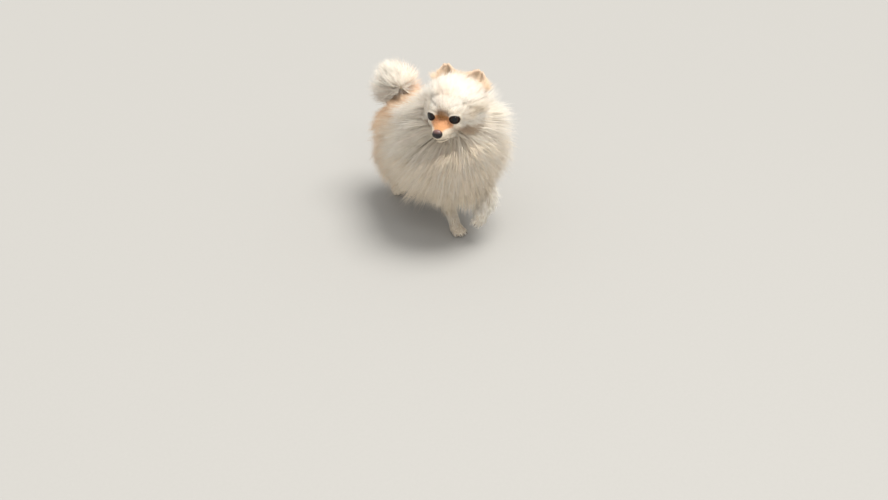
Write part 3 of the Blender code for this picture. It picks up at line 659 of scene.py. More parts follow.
def ball_distance(places, centre, radii):
    """Distance from a ball's centre, as a share of its radius that way."""
    return np.linalg.norm((places - np.array(centre)) / np.array(radii), axis=1)


def in_head(places):
    """Places as forward, left and up in the head."""
    return (places - np.array(HEAD_CENTRE)) @ np.array([list(a) for a in HEAD_AXES]).T


def blend(colours, colour, share):
    return colours + (np.array(colour) - colours) * share[:, None]


def tail_side(places):
    """1 on the left side of the tail's stem, and 0 on its right."""
    return ramp(places[:, 0] + 0.012 * ramp(places[:, 2], 0.150, 0.195), -0.009, 0.007)


def coat_colours_and_painted_light(places, part):
    """The coat's colour at places on the body, with painted light and shade blended in; part is the name of the part
    that each belongs to.
    """
    coat = settings().coat
    colours = np.tile(np.array(coat.cream[:]), (len(places), 1))
    x, y, z = places.T
    forward, left, up = in_head(places).T
    on_head = (part == "head") | (part == "ear")
    # Painted shade: the front half of the body is blended towards grey beige lower down, where shade falls under it.
    low = 1 - ramp(z, 0.085, 0.150)
    colours = blend(colours, coat.painted_shade_grey[:], 0.75 * low * (1 - ramp(y, -0.02, 0.05)) * ~on_head)
    rump = ramp(y, 0.010, 0.095) * ramp(z, 0.075, 0.155)
    colours = blend(colours, coat.apricot[:], 0.85 * rump * ((part == "torso") | (part == "thigh")))
    saddle = ramp(y, -0.02, 0.05) * ramp(z, 0.150, 0.180)
    colours = blend(colours, coat.apricot[:], 0.45 * saddle * (part == "torso"))
    # Painted light: the ruff is whitened higher up, where light from above falls.
    ruff = ramp(z, 0.145, 0.190) * (part == "neck")
    colours = blend(colours, coat.white[:], 0.60 * ruff)
    feet = 1 - ramp(z, 0.030, 0.065)
    colours = blend(colours, coat.white[:], 0.6 * feet * (part == "leg"))
    # Painted light: the raised forepaw is whitened more than the other paws, a lit copy of the planted paw in shade.
    raised = near(places, FORELEG_LEFT[4][:3], (0.042, 0.042, 0.042)) * (part == "leg")
    colours = blend(colours, coat.white[:], 0.9 * raised)
    near_side = np.maximum(tail_side(places), ramp(y, 0.114, 0.125))
    root_of_tail = near(places, (-0.002, 0.112, 0.170), (0.024, 0.024, 0.036), edge=0.6)
    root_of_tail = root_of_tail * (1 - ramp(z, 0.158, 0.172) * (1 - near_side))
    colours = blend(colours, coat.orange[:], 0.85 * root_of_tail * (part == "tail"))
    plume = near(places, PLUME_OUTLINE[0], (0.03, 0.03, 0.03)) * (part == "tail")
    colours = blend(colours, coat.white[:], 0.80 * plume * (1 - root_of_tail))
    warm = near_side * (1 - ramp(z, 0.185, 0.205)) * (part == "tail")
    colours = blend(colours, coat.apricot[:], 0.80 * warm * (1 - root_of_tail))
    local = in_head(places)
    head = (part == "head").astype(float)
    # Painted light: the top of the head is whitened where light from above falls.
    crown = ramp(up, 0.002, 0.018) * head
    colours = blend(colours, coat.white[:], 0.90 * crown)
    forehead = near(local, (0.012, -0.003, 0.020), (0.016, 0.012, 0.014)) * head
    colours = blend(colours, coat.apricot[:], 0.22 * forehead)
    for side in (-1, 1):
        ear_root = near(local, both(EAR_BASE, side), (0.018, 0.018, 0.014), edge=0.6) * head
        colours = blend(colours, coat.apricot[:], 0.40 * ear_root)
    muzzle = ramp(forward, 0.006, 0.020) * head
    colours = blend(colours, coat.white[:], 0.60 * muzzle)
    wide = 0.0185 - 0.0100 * ramp(forward, 0.022, 0.042) - 0.30 * np.clip(-0.008 - up, 0, 0.02)
    bridge = ramp(forward, 0.016, 0.022) * ramp(wide - np.abs(left), -0.0025, 0.0025) * ramp(up, -0.0215, -0.0165)
    colours = blend(colours, coat.orange[:], 0.90 * bridge * (up < 0.003) * head)
    # The tan patch between the eyes is partly the hair's colour and partly painted shade in the stop under the brows.
    between = near(local, (0.0225, -0.001, 0.0035), (0.010, 0.0095, 0.0062), edge=0.65) * head
    colours = blend(colours, coat.tan[:], 0.90 * between)
    aside = (np.abs(left) > 0.012) * head
    upper_cheek = near(local, (0.004, 0, -0.007), (0.018, 0.07, 0.0050), edge=0.6) * aside
    colours = blend(colours, coat.white[:], 0.85 * upper_cheek)
    # Painted shade: a tan band low on the cheeks, where shade falls in the gap between the cheek fur and the ruff.
    jowl_painted_shade = near(local, (0.010, 0, -0.0160), (0.016, 0.07, 0.0045), edge=0.6) * aside
    colours = blend(colours, coat.tan[:], 0.50 * jowl_painted_shade)
    colours = blend(colours, coat.apricot[:], 0.30 * (part == "ear"))
    return colours


# Which part a place on the skin belongs to


def hindleg_stations(side):
    """One hind leg's stations, with its foot a step ahead or behind."""
    return [
        (x * side, y + STRIDE[side] * (1 - float(ramp(z, 0.02, 0.09))), z, w, h) for x, y, z, w, h in HINDLEG
    ]


LEGS = {
    "foreleg_right": FORELEG_RIGHT,
    "foreleg_left": FORELEG_LEFT,
    "hindleg_right": hindleg_stations(-1),
    "hindleg_left": hindleg_stations(1),
}
PAWS = {
    "foreleg_right": (-BACK, UP),
    "foreleg_left": RAISED_PAW,
    "hindleg_right": (-BACK, UP),
    "hindleg_left": (-BACK, UP),
}
THIGH_BOTTOM = 0.062


def both(place, side):
    """A place in the head on one side or the other."""
    return (place[0], place[1] * side, place[2])


def chain_distance(places, stations):
    """Distance to a chain of balls, as a share of their radius."""
    best = np.full(len(places), 1e9)
    for row in smooth_row(stations, 3):
        reach = np.linalg.norm(places - np.array(row[:3]), axis=1) / max(row[3], row[4])
        best = np.minimum(best, reach)
    return best


def head_distance(local):
    """Distance to the bare head's balls, as a share of their radius."""
    balls = [*SKULL, STOP]
    balls += [(both(centre, side), radii) for side in (-1, 1) for centre, radii in (CHEEK, TEMPLE, CHEEKBONE)]
    balls += [(row[:3], (row[4], row[3], row[4])) for row in (*MUZZLE, *JAW)]
    return np.min([ball_distance(local, centre, radii) for centre, radii in balls], axis=0)


def ear_height(local):
    """How far up the nearer ear a place in the head is, from 0 at its base to 1 at its tip, or -1 if off both."""
    best = np.full(len(local), -1.0)
    for side in (-1, 1):
        base = np.array(both(EAR_BASE, side))
        rise = np.array(both(EAR_TIP[side], side)) - base
        share = (local - base) @ rise / (rise @ rise)
        off = np.linalg.norm(local - base - share[:, None] * rise, axis=1)
        best = np.where((off < EAR_HALF_WIDTH * 1.3) & (share > best), share, best)
    return best


def part_of(places):
    """The name of the part that each place on the skin belongs to."""
    local = in_head(places)
    shares = {
        "torso": chain_distance(places, TORSO),
        "neck": chain_distance(places, NECK),
        "tail": chain_distance(places, TAIL),
        "leg": np.min([chain_distance(places, s[1:]) for s in LEGS.values()], axis=0),
        "head": head_distance(local),
        "ear": np.where(ear_height(local) > 0.16, 0.0, 9.0),
    }
    names = np.array(list(shares))
    found = names[np.argmin(np.array(list(shares.values())), axis=0)]
    thigh = (found == "leg") & (places[:, 2] > THIGH_BOTTOM) & (places[:, 1] > 0.03)
    return np.where(thigh, "thigh", found)


# The coat: tufts as arrays


SKIN = {}


def read_skin(skin):
    """Keeps the skin's triangles in the dog's frame: corners, corner normals, areas and the part each belongs to."""
    mesh = skin.data
    mesh.calc_loop_triangles()
    places = np.empty(len(mesh.vertices) * 3, np.float32)
    mesh.vertices.foreach_get("co", places)
    places = places.reshape(-1, 3).astype(float) - np.array(TO_FRAME)
    normals = np.empty(len(mesh.vertices) * 3, np.float32)
    mesh.vertices.foreach_get("normal", normals)
    normals = normals.reshape(-1, 3).astype(float)
    index = np.empty(len(mesh.loop_triangles) * 3, np.int32)
    mesh.loop_triangles.foreach_get("vertices", index)
    index = index.reshape(-1, 3)
    corners = places[index]
    areas = np.linalg.norm(np.cross(corners[:, 1] - corners[:, 0], corners[:, 2] - corners[:, 0]), axis=1) / 2
    SKIN.update(corners=corners, normals=normals[index], areas=areas, parts=part_of(corners.mean(axis=1)))
    print("skin", len(corners), "triangles")


def unit(rows):
    return rows / np.maximum(np.linalg.norm(rows, axis=1), 1e-9)[:, None]


def scatter(wanted, per_area, draw):
    """Roots spread at random over the wanted triangles, so many to the square metre."""
    count = draw.poisson(SKIN["areas"] * per_area * wanted * settings().coat.fullness)
    which = np.repeat(np.arange(len(count)), count)
    a, b = draw.random((2, len(which)))
    over = a + b > 1
    a, b = np.where(over, 1 - a, a), np.where(over, 1 - b, b)
    share = np.stack([1 - a - b, a, b], axis=1)[:, :, None]
    roots = (SKIN["corners"][which] * share).sum(axis=1)
    normals = unit((SKIN["normals"][which] * share).sum(axis=1))
    return roots, normals, SKIN["parts"][which]


def outline_reach(places):
    """How far out places are in the coat's outline, where 1 is on it. The balls blend into each other."""
    sharp = 14.0
    total = np.zeros(len(places))
    for centre, radii in OUTLINE:
        total += np.exp(-sharp * ball_distance(places, centre, radii))
    return -np.log(total) / sharp


def head_reach(places):
    return ball_distance(in_head(places), *HEAD_OUTLINE)


def plume_reach(places):
    return ball_distance(places, *PLUME_OUTLINE)


def tip_and_knee(roots, normals, flow, length, stand, droop):
    """A tuft leaves along the skin's normal and bends over along the flow, and its weight pulls the tip down."""
    length = length[:, None]
    stand = stand[:, None]
    knee = roots + length * (normals * (0.22 + 0.30 * stand) + flow * (0.30 - 0.20 * stand))
    tip = roots + length * (normals * (0.08 + 0.80 * stand) + flow * (0.96 - 0.62 * stand))
    tip = tip - np.array((0, 0, 1)) * droop[:, None] * length
    return knee, tip


def length_to(reach, roots, normals, flow, stand, droop, share, longest):
    """The length at which each tuft's tip is at its share of the way out to an outline, up to the longest."""
    low, high = np.zeros(len(roots)), longest.copy()
    for _ in range(14):
        middle = (low + high) / 2
        _, tip = tip_and_knee(roots, normals, flow, middle, stand, droop)
        inside = reach(tip) < share
        low = np.where(inside, middle, low)
        high = np.where(inside, high, middle)
    return (low + high) / 2


def keep_off_line(places, start, end, radius):
    """Pushes places out of a round bar."""
    start, end = np.array(start), np.array(end)
    way = end - start
    share = np.clip((places - start) @ way / (way @ way), 0, 1)
    foot = start + share[:, None] * way
    out = places - foot
    distance = np.linalg.norm(out, axis=1)
    pushed = foot + out / np.maximum(distance, 1e-9)[:, None] * radius
    return np.where((distance < radius)[:, None], pushed, places)


def clear_of_forelegs(places):
    """Parts the coat of the chest round the forelegs."""
    for stations in (FORELEG_RIGHT, FORELEG_LEFT):
        for first, second in zip(stations[1:], stations[2:]):
            places = keep_off_line(places, first[:3], second[:3], 0.0125)
    return places


def gather(places, clump, share):
    """Draws places towards the middle of their clump."""
    count = np.bincount(clump)
    middle = np.stack([np.bincount(clump, places[:, k]) / np.maximum(count, 1) for k in range(3)], axis=1)
    return places + (middle[clump] - places) * share


def clumps_of(roots, spacing, draw):
    """The number of the clump that each root belongs to, with clumps about one spacing apart."""
    order = draw.permutation(len(roots))
    centres, cells = [], {}
    for place in roots[order]:
        cell = tuple(np.floor(place / spacing).astype(int))
        if cell not in cells:
            cells[cell] = True
            centres.append(place)
    tree = KDTree(len(centres))
    for i, place in enumerate(centres):
        tree.insert(place, i)
    tree.balance()
    return np.array([tree.find(place)[1] for place in roots])


# How far to each side the coat keeps to its outline. Tips that would be farther out are drawn in
WIDEST = 0.111


def grow(name, roots, normals, parts, lie, draw, clump=0.006, pull=0.42, rings=(0.0, 0.36, 0.70), wave=0.02):
    """One coat piece, from its roots and a function that gives how the coat lies at each root.

    lie returns the flow, the stand, the droop, the length and the width of each tuft.
    """
    flow, stand, droop, length, width = lie(roots, normals, parts, draw)
    width = width * settings().coat.fineness
    knee, tip = tip_and_knee(roots, normals, flow, length, stand, droop)
    for spacing, strength in ((clump * 2.2, pull * 0.45), (clump, pull)):
        group = clumps_of(roots, spacing, draw)
        knee = gather(knee, group, strength * 0.30)
        tip = gather(tip, group, strength * draw.uniform(0.55, 1.0, (len(tip), 1)))
        shift = draw.normal(0, 0.035, (group.max() + 1, 3))[group] * length[:, None]
        tip = tip + shift
        knee = knee + shift * 0.35
    loose = draw.normal(0, 0.045, (len(roots), 3)) * length[:, None]
    tip = tip + loose
    if parts[0] in ("neck", "torso", "thigh"):
        knee, tip = clear_of_forelegs(knee), clear_of_forelegs(tip)
    past = np.maximum(np.abs(tip[:, 0]) - WIDEST, 0)
    tip[:, 0] -= np.sign(tip[:, 0]) * past * 0.45
    tip[:, 2] = np.maximum(tip[:, 2], 0.003)
    return weave(name, roots, normals, knee, tip, width, length, parts, draw, rings, wave)


def head_dome(roots, tips):
    """The way out of the head's round outline at each tip, fading away on the muzzle."""
    centre, radii = HEAD_OUTLINE
    out = unit((in_head(tips) - np.array(centre)) / np.array(radii) ** 2) @ np.array([list(a) for a in HEAD_AXES])
    return 2.6 * out * (1 - ramp(in_head(roots)[:, 0], 0.012, 0.026))[:, None]


# Fine hair takes the light of the whole coat's surface: the share of a tuft's shading that comes from it
BULK_SHADING = 0.70


def weave(name, roots, normals, knee, tip, width, length, parts, draw, rings, wave):
    """The tufts' closed three-sided strips as one mesh, with the coat's colour and the map of its roots."""
    count, ring_count = len(roots), len(rings)
    start = roots - normals * np.minimum(0.15 * length, 0.0012)[:, None]
    sideways = unit(np.cross(tip - start, normals) + draw.normal(0, 1e-6, (count, 3)))
    outward = unit(np.cross(sideways, tip - start))
    bulk = unit(normals + 0.40 * unit(tip - start))
    if parts[0] == "neck":
        bulk = unit(bulk + 0.55 * ramp(tip[:, 2], 0.150, 0.210)[:, None] * np.array((0, 0, 1)))
    if parts[0] == "tail":
        bulk = unit(unit(tip - np.array(PLUME_OUTLINE[0])) + np.array((0, 0, 0.9)))
    if parts[0] == "head":
        bulk = unit(bulk + head_dome(roots, tip))
    if parts[0] == "ear":
        bulk = unit(bulk + np.array((0, 0, 0.8)))
    twist = draw.normal(0, 0.5, count)[:, None]
    phase = draw.uniform(0, math.tau, count)[:, None]
    rows, facing, under, tones = [], [], [], []
    for t in rings:
        middle = start * (1 - t) ** 2 + knee * 2 * t * (1 - t) + tip * t**2
        swing = wave * length[:, None] * math.sin(math.pi * t) * np.sin(phase + 5.0 * t)
        middle = middle + sideways * swing
        slope = unit((knee - start) * (1 - t) + (tip - knee) * t)
        across = unit(sideways * np.cos(twist) + outward * np.sin(twist))
        across = unit(across - slope * (across * slope).sum(axis=1)[:, None])
        lift = np.cross(across, slope)
        half = (width * (0.55 + 0.45 * math.sin(math.pi * min(t * 1.1 + 0.15, 1))) / 2)[:, None]
        rows += [middle - across * half, middle + across * half, middle + lift * half * 0.9]
        facing += [unit(bulk * BULK_SHADING + own * (1 - BULK_SHADING)) for own in (-across, across, lift)]
        under += [unit(0.4 * own - lift) for own in (-across, across, lift)]
        tones += [t] * 3
    rows.append(tip)
    facing.append(bulk)
    under.append(unit(-lift))
    tones.append(1.0)
    per_tuft = len(rows)
    places = np.stack(rows, axis=1).reshape(-1, 3)
    faces = []
    for i in range(ring_count - 1):
        a, b = 3 * i, 3 * i + 3
        for k in range(3):
            m = (k + 1) % 3
            faces += [(a + k, b + m, a + m), (a + k, b + k, b + m)]
    last = 3 * (ring_count - 1)
    faces += [(last + k, last + 3, last + (k + 1) % 3) for k in range(3)]
    faces.append((0, 1, 2))
    low_side = np.array([set(face) & {2, 5, 8} == set() for face in faces])
    faces = (np.array(faces)[None] + np.arange(count)[:, None, None] * per_tuft).reshape(-1, 3)
    made = mesh_of(name, places, faces)
    corner = faces.ravel()
    low_side = np.tile(np.repeat(low_side, 3), count)[:, None]
    facing, under = (np.stack(rows, axis=1).reshape(-1, 3)[corner] for rows in (facing, under))
    made.data.normals_split_custom_set(np.where(low_side, under, facing))
    paint_tufts(made, roots, parts, np.array(tones), per_tuft, draw)
    map_tufts(made, roots, np.array(tones), per_tuft, faces)
    return made


def mesh_of(name, places, faces):
    """A mesh from arrays of places and triangles, turned to face outwards."""
    mesh = bpy.data.meshes.new(name)
    mesh.vertices.add(len(places))
    mesh.vertices.foreach_set("co", places.astype(np.float32).ravel())
    mesh.loops.add(len(faces) * 3)
    mesh.loops.foreach_set("vertex_index", faces.astype(np.int32).ravel())
    mesh.polygons.add(len(faces))
    mesh.polygons.foreach_set("loop_start", np.arange(0, len(faces) * 3, 3, dtype=np.int32))
    mesh.update(calc_edges=True)
    mesh.shade_smooth()
    made = bpy.data.objects.new(name, mesh)
    bpy.context.scene.collection.objects.link(made)
    return made


def write_colours(thing, colours):
    attribute = thing.data.color_attributes.new("Coat", "FLOAT_COLOR", "POINT")
    rgba = np.concatenate([np.clip(colours, 0, 1), np.ones((len(colours), 1))], axis=1)
    attribute.data.foreach_set("color", rgba.astype(np.float32).ravel())


def paint_tufts(made, roots, parts, tones, per_tuft, draw):
    """Each tuft has the colour at its root, with painted shade that darkens and warms it near the skin, and differs a
    little from the next.
    """
    colours = coat_colours_and_painted_light(roots, parts)
    colours = colours * (1 + draw.normal(0, 0.045, (len(roots), 1))) * (1 + draw.normal(0, 0.012, (len(roots), 3)))
    # Painted shade: each tuft darkens towards its root, where the coat shades itself.
    painted_root_shade = np.array((0.96, 0.92, 0.86) if parts[0] == "tail" else (0.92, 0.86, 0.77))
    shade_along_tuft = painted_root_shade + (1.0 - painted_root_shade) * ramp(tones, -0.05, 0.65)[:, None]
    write_colours(made, (colours[:, None, :] * shade_along_tuft[None]).reshape(-1, 3))


def map_tufts(made, roots, tones, per_tuft, faces):
    """The map OFBake: each tuft is a patch 0.003 across at its root's place on the body unrolled round its middle."""
    middle = (roots.min(axis=0) + roots.max(axis=0)) / 2
    spread = roots - middle
    angle = np.arctan2(spread[:, 0], spread[:, 2]) / math.tau + 0.5
    along = (spread[:, 1] - spread[:, 1].min()) / max(np.ptp(spread[:, 1]), 1e-6)
    place = 0.002 + 0.996 * np.stack([angle, along], axis=1)
    side = np.tile([-1.0, 1.0, 0.0], per_tuft // 3 + 1)[:per_tuft]
    patch = np.stack([side, tones * 2 - 1], axis=1) * 0.0015
    corners = (place[:, None, :] + patch[None]).reshape(-1, 2)[faces.ravel()]
    layer = made.data.uv_layers.new(name="OFBake")
    layer.data.foreach_set("uv", corners.astype(np.float32).ravel())


# How the coat lies, part by part


def along_skin(flow, normals):
    return unit(flow - normals * (flow * normals).sum(axis=1)[:, None])


def fixed(way, count):
    return np.tile(np.array(way, float), (count, 1))


def torso_flow(places, normals):
    """Down at the chest, back along the top, back and down on the sides, down at the buttocks."""
    x, y, z = places.T
    front = 1 - ramp(y, -0.080, -0.030)
    rear = ramp(y, 0.070, 0.110)
    top = ramp(normals[:, 2], 0.35, 0.9)
    under = ramp(-normals[:, 2], 0.2, 0.8)
    back = 0.80 - 0.95 * front - 0.35 * rear + 0.5 * under
    down = (0.60 + 0.40 * front + 0.45 * rear) * (1 - 0.8 * top)
    return np.stack([np.zeros(len(x)), back, -down], axis=1)


def lie_of_body(roots, normals, parts, draw):
    count = len(roots)
    flow = torso_flow(roots, normals)
    neck = (parts == "neck")[:, None]
    collar = ramp(roots[:, 2], 0.170, 0.200)[:, None]
    flow = np.where(neck, fixed((0, 0.60, -0.75), count) + collar * np.array((0, 0.05, 0.45)), flow)
    thigh = (parts == "thigh")[:, None]
    flow = np.where(thigh, fixed((0, 0.40, -1.0), count), flow)
    flow = along_skin(flow + draw.normal(0, 0.08, (count, 3)), normals)
    stand = 0.70 - 0.08 * ramp(roots[:, 1], 0.0, 0.05)
    stand = np.where(parts == "thigh", 0.55, stand) + draw.normal(0, 0.05, count)
    stand = stand + 0.08 * collar[:, 0] * (parts == "neck")
    under = ramp(-normals[:, 2], 0.3, 0.9)
    stand = np.clip(stand - 0.20 * under, 0.15, 0.85)
    droop = np.full(count, 0.06)
    share = 1.0 - 0.26 * draw.random(count) ** 2
    longest = np.full(count, 0.104)
    length = length_to(outline_reach, roots, normals, flow, stand, droop, share, longest)
    width = 0.00060 * draw.uniform(0.75, 1.25, count)
    return flow, stand, droop, length, width


def head_length(local):
    """The coat's length on the head: shortest on the muzzle, and longest at the temples, crown and cheeks."""
    forward, left, up = local.T
    length = 0.0026 + 0.0022 * (1 - ramp(forward, 0.018, 0.040))
    length = length + 0.0030 * ramp(-up, 0.026, 0.032)
    length = length + 0.0120 * (1 - ramp(forward, 0.002, 0.028)) * ramp(up, 0.000, 0.012)
    length = length + 0.0230 * (1 - ramp(forward, -0.020, 0.016))
    length = length + 0.0210 * temple_of(local)
    for side in (-1, 1):
        off = local - np.array(both(EYE_PLACE, side))
        gap = ramp(np.linalg.norm(off, axis=1), EYE_RADIUS, EYE_RADIUS + 0.009)
        least = 0.38 + 0.34 * np.maximum(ramp(off[:, 2], 0.002, 0.007), ramp(off[:, 1] * side, 0.004, 0.010))
        length = length * (least + (1 - least) * gap)
    return length


def temple_of(local):
    """1 at the temples and the upper cheeks, behind the eyes."""
    return ramp(np.abs(local[:, 1]), 0.014, 0.026) * (1 - ramp(local[:, 0], 0.004, 0.024))


def lie_of_head(roots, normals, parts, draw):
    """Away from the nose over the whole head, falling at the cheeks."""
    count = len(roots)
    local = in_head(roots)
    away = unit(local - np.array((0.052, 0, -0.012)))
    away = away + ramp(-local[:, 0], 0.012, 0.034)[:, None] * np.array((-0.2, 0, -1.4))
    flow = away @ np.array([list(a) for a in HEAD_AXES])
    cheek = ramp(-local[:, 2], -0.002, 0.016)[:, None]
    flow = flow - cheek * np.array((0, 0, 0.45))
    for side in (-1, 1):
        lid = near(local, (EYE_PLACE[0] + 0.004, EYE_PLACE[1] * side, EYE_RADIUS - 0.0005), (0.007, 0.010, 0.0028))
        over = np.array(head_way(0.70, 0.75 * side, -0.10))
        flow = flow + (over - flow) * lid[:, None] * 0.9
    flow = along_skin(flow + draw.normal(0, 0.10, (count, 3)), normals)
    length = head_length(local) * draw.uniform(0.75, 1.12, count)
    stand = 0.18 + 0.24 * ramp(length, 0.005, 0.022) + 0.20 * temple_of(local) + draw.normal(0, 0.05, count)
    stand = np.clip(stand, 0.05, 0.85)
    droop = np.full(count, 0.02)
    share = 1.04 - 0.20 * draw.random(count) ** 2
    length = length_to(head_reach, roots, normals, flow, stand, droop, share, length)
    width = (0.00030 + 0.00014 * ramp(length, 0.004, 0.015)) * draw.uniform(0.75, 1.25, count)
    return flow, stand, droop, length, width


def lie_of_ears(roots, normals, parts, draw):
    """Up the ear and out over its edge, finest at the tip."""
    count = len(roots)
    local = in_head(roots)
    height = ear_height(local)
    middle = np.abs(local[:, 1]) - EAR_BASE[1] - 0.004 * height
    edge = ramp(np.abs(middle), 0.006, 0.015) * (1 - ramp(height, 0.35, 0.95))
    outward = (np.sign(middle) * np.sign(local[:, 1]) * edge)[:, None] * np.array(HEAD_AXES[1])
    flow = np.array(head_way(-0.10, 0, 1))[None] + 1.1 * outward + 0.25 * normals
    flow = along_skin(flow + draw.normal(0, 0.15, (count, 3)), normals)
    inside = ramp(normals @ np.array(HEAD_AXES[0]), 0.0, 0.5) * (1 - edge)
    length = 0.0080 - 0.0048 * ramp(height, 0.3, 0.9) + 0.0070 * edge + 0.0060 * edge * (1 - ramp(height, 0.2, 0.6))
    length = length * (1 - 0.10 * inside) * draw.uniform(0.7, 1.2, count)
    stand = np.clip(0.25 + draw.normal(0, 0.06, count), 0.05, 0.6)
    droop = np.zeros(count)
    width = 0.00036 * draw.uniform(0.75, 1.25, count)
    return flow, stand, droop, length, width


def lie_of_legs(roots, normals, parts, draw):
    """Down the legs, with feathers behind the forelegs and short fur on the paws."""
    count = len(roots)
    flow = fixed((0, 0.10, -1), count)
    paw = np.zeros(count)
    for name, stations in LEGS.items():
        ahead, up = (np.array(v) for v in PAWS[name])
        at = near(roots, np.array(stations[-1][:3]) + ahead * 0.007, (0.016, 0.016, 0.016), edge=0.4)
        flow = flow + (1.2 * ahead - 0.35 * up - flow) * at[:, None]
        paw = np.maximum(paw, at)
    flow = along_skin(flow + draw.normal(0, 0.10, (count, 3)), normals)
    high = ramp(roots[:, 2], 0.02, 0.075)
    feather = ramp(normals[:, 1], 0.1, 0.8) * ramp(roots[:, 2], 0.018, 0.04)
    raised = near(roots, FORELEG_LEFT[3][:3], (0.024, 0.024, 0.024), edge=0.4)
    length = 0.0085 + 0.0060 * high + 0.0110 * feather + 0.0050 * raised
    length = length * (1 - 0.42 * paw) * draw.uniform(0.75, 1.2, count)
    stand = np.clip(0.24 + 0.18 * feather + 0.14 * raised + draw.normal(0, 0.05, count), 0.05, 0.7)
    droop = np.full(count, 0.04)
    width = (0.00048 + 0.00018 * high) * draw.uniform(0.75, 1.25, count)
    return flow, stand, droop, length, width


def lie_of_tail(roots, normals, parts, draw):
    """Out from the heart of the curl like a fan."""
    count = len(roots)
    heart = np.array((-0.014, 0.104, 0.188))
    out = unit(roots - heart)
    near_side = (tail_side(roots) * (1 - ramp(roots[:, 2], 0.180, 0.200)))[:, None]
    lean = np.array((-0.34, 0.46, 0.52)) * (1 - near_side) + np.array((0.25, 0.10, 0.20)) * near_side
    flow = along_skin(0.50 * out + lean + draw.normal(0, 0.12, (count, 3)), normals)
    stand = np.clip(0.50 + draw.normal(0, 0.12, count), 0.15, 0.9)
    droop = np.full(count, 0.03)
    share = 1.04 - 0.55 * draw.random(count) ** 2
    longest = np.full(count, 0.062)
    length = length_to(plume_reach, roots, normals, flow, stand, droop, share, longest)
    width = 0.00060 * draw.uniform(0.75, 1.25, count)
    return flow, stand, droop, length, width


def coat_piece(name, slot, wanted, per_area, lie, seed, **form):
    """Grows one piece of the coat over the wanted part of the skin."""
    draw = np.random.default_rng(seed)
    centres = SKIN["corners"].mean(axis=1)
    facing = SKIN["normals"].mean(axis=1)
    roots, normals, parts = scatter(wanted(centres, facing, SKIN["parts"]), per_area, draw)
    made = grow(name, roots, normals, parts, lie, draw, **form)
    print(name, len(roots), "tufts", len(made.data.polygons), "triangles")
    return set_in_frame(made, bpy.data.materials.get("keratin_hair") or coat_material(), slot)


# The pieces


class MakeSkin(bpy.types.Operator):
    """Makes one skin over the whole lean body, with brow, lids, cheeks, lips, ears and paws"""

    bl_idname = "pomeranian.skin"
    bl_label = "Skin"

    def execute(self, context):
        head = bare_head()
        body = bare_body()
        boolean(head, "UNION", [body])
        head.name = "skin"
        head.data.name = "skin"
        sink_mouth(head)
        colour_skin(head)
        set_in_frame(head, skin_material(), "coat", *FLESH_NODES)
        read_skin(head)
        return {"FINISHED"}


def bare_head():
    bm = bmesh.new()
    for centre, radii in (*SKULL, STOP):
        add_ball(bm, head_point(*centre), radii, HEAD_AXES, 24)
    for side in (-1, 1):
        for centre, radii in (CHEEK, BROW, TEMPLE, CHEEKBONE, FLEW):
            add_ball(bm, head_point(*both(centre, side)), radii, HEAD_AXES)
        look = eye_axes(side)[0]
        orbit = EYE_RADIUS + LID_THICKNESS
        add_ball(bm, eye_point(side) + look * 0.0002, (orbit,) * 3, HEAD_AXES, 24)
        add_ear(bm, side)
    add_chain(bm, head_stations(MUZZLE), HEAD_AXES)
    add_chain(bm, head_stations(JAW), HEAD_AXES)
    head = new_object("head_skin", bm)
    fuse(head, 0.00070, 6)
    cutters = []
    for side in (-1, 1):
        cutters += eye_cutters(side)
    boolean(head, "DIFFERENCE", cutters)
    return head


def eye_cutters(side):
    """The eyeball's own room, and the almond opening between the lids."""
    room = bmesh.new()
    add_ball(room, eye_point(side), (EYE_RADIUS + 0.0001,) * 3, HEAD_AXES, 32)
    opening = bmesh.new()
    look, left, up = eye_axes(side)
    axes = (look, left, up)
    centre = eye_point(side) + look * EYE_RADIUS
    add_ball(opening, centre, (0.008, EYE_OPENING[0], EYE_OPENING[1]), axes, 32)
    corner = centre - left * side * EYE_OPENING[0] * 0.78 - up * 0.0016 - look * 0.0015
    add_ball(opening, corner, (0.006, 0.0026, 0.0022), axes, 16)
    pieces = [new_object("eye_room", room), new_object("eye_opening", opening)]
    boolean(pieces[0], "UNION", [pieces[1]])
    return pieces[:1]


def add_ear(bm, side):
    """An upright ear, thin and rounded at its tip, with a cup that opens forwards and outwards."""
    base, tip = head_point(*both(EAR_BASE, side)), head_point(*both(EAR_TIP[side], side))
    rise = tip - base
    up = rise.normalized()
    face = head_way(0.98, 0.12 * side, 0)
    face = (face - up * face.dot(up)).normalized()
    across = up.cross(face)
    sheet = bmesh.new()
    bmesh.ops.create_grid(sheet, x_segments=16, y_segments=16, size=1.0)
    for vert in sheet.verts:
        s, t = vert.co.x, (vert.co.y + 1) / 2
        half_width = max(EAR_HALF_WIDTH * math.sqrt(max(1 - t**2.0, 0)) * (1 + 0.05 * t), 0.0026)
        curl = 0.0085 * s * s * (1 - 0.5 * t) - 0.0036 * math.sin(math.pi * t)
        lean = 0.0020 * t * t
        height = rise.length * (t * 1.16 - 0.16) * (1 - 0.03 * s * s)
        vert.co = base + up * height + across * s * half_width + face * (curl - lean)
    bmesh.ops.recalc_face_normals(sheet, faces=sheet.faces[:])
    bmesh.ops.solidify(sheet, geom=sheet.faces[:], thickness=0.0018)
    take_in(bm, sheet)


def add_paw(bm, ankle, ahead, up):
    """A small round paw with four toes, ahead of and below the ankle."""
    side = ahead.cross(up).normalized()
    axes = (side, ahead, up)
    pad = ankle + ahead * 0.0035 - up * 0.0010
    add_ball(bm, pad, PAW_SIZE, axes)
    for toe, _ in toes(ankle, ahead, up):
        add_ball(bm, toe, TOE_SIZE, axes, 12)


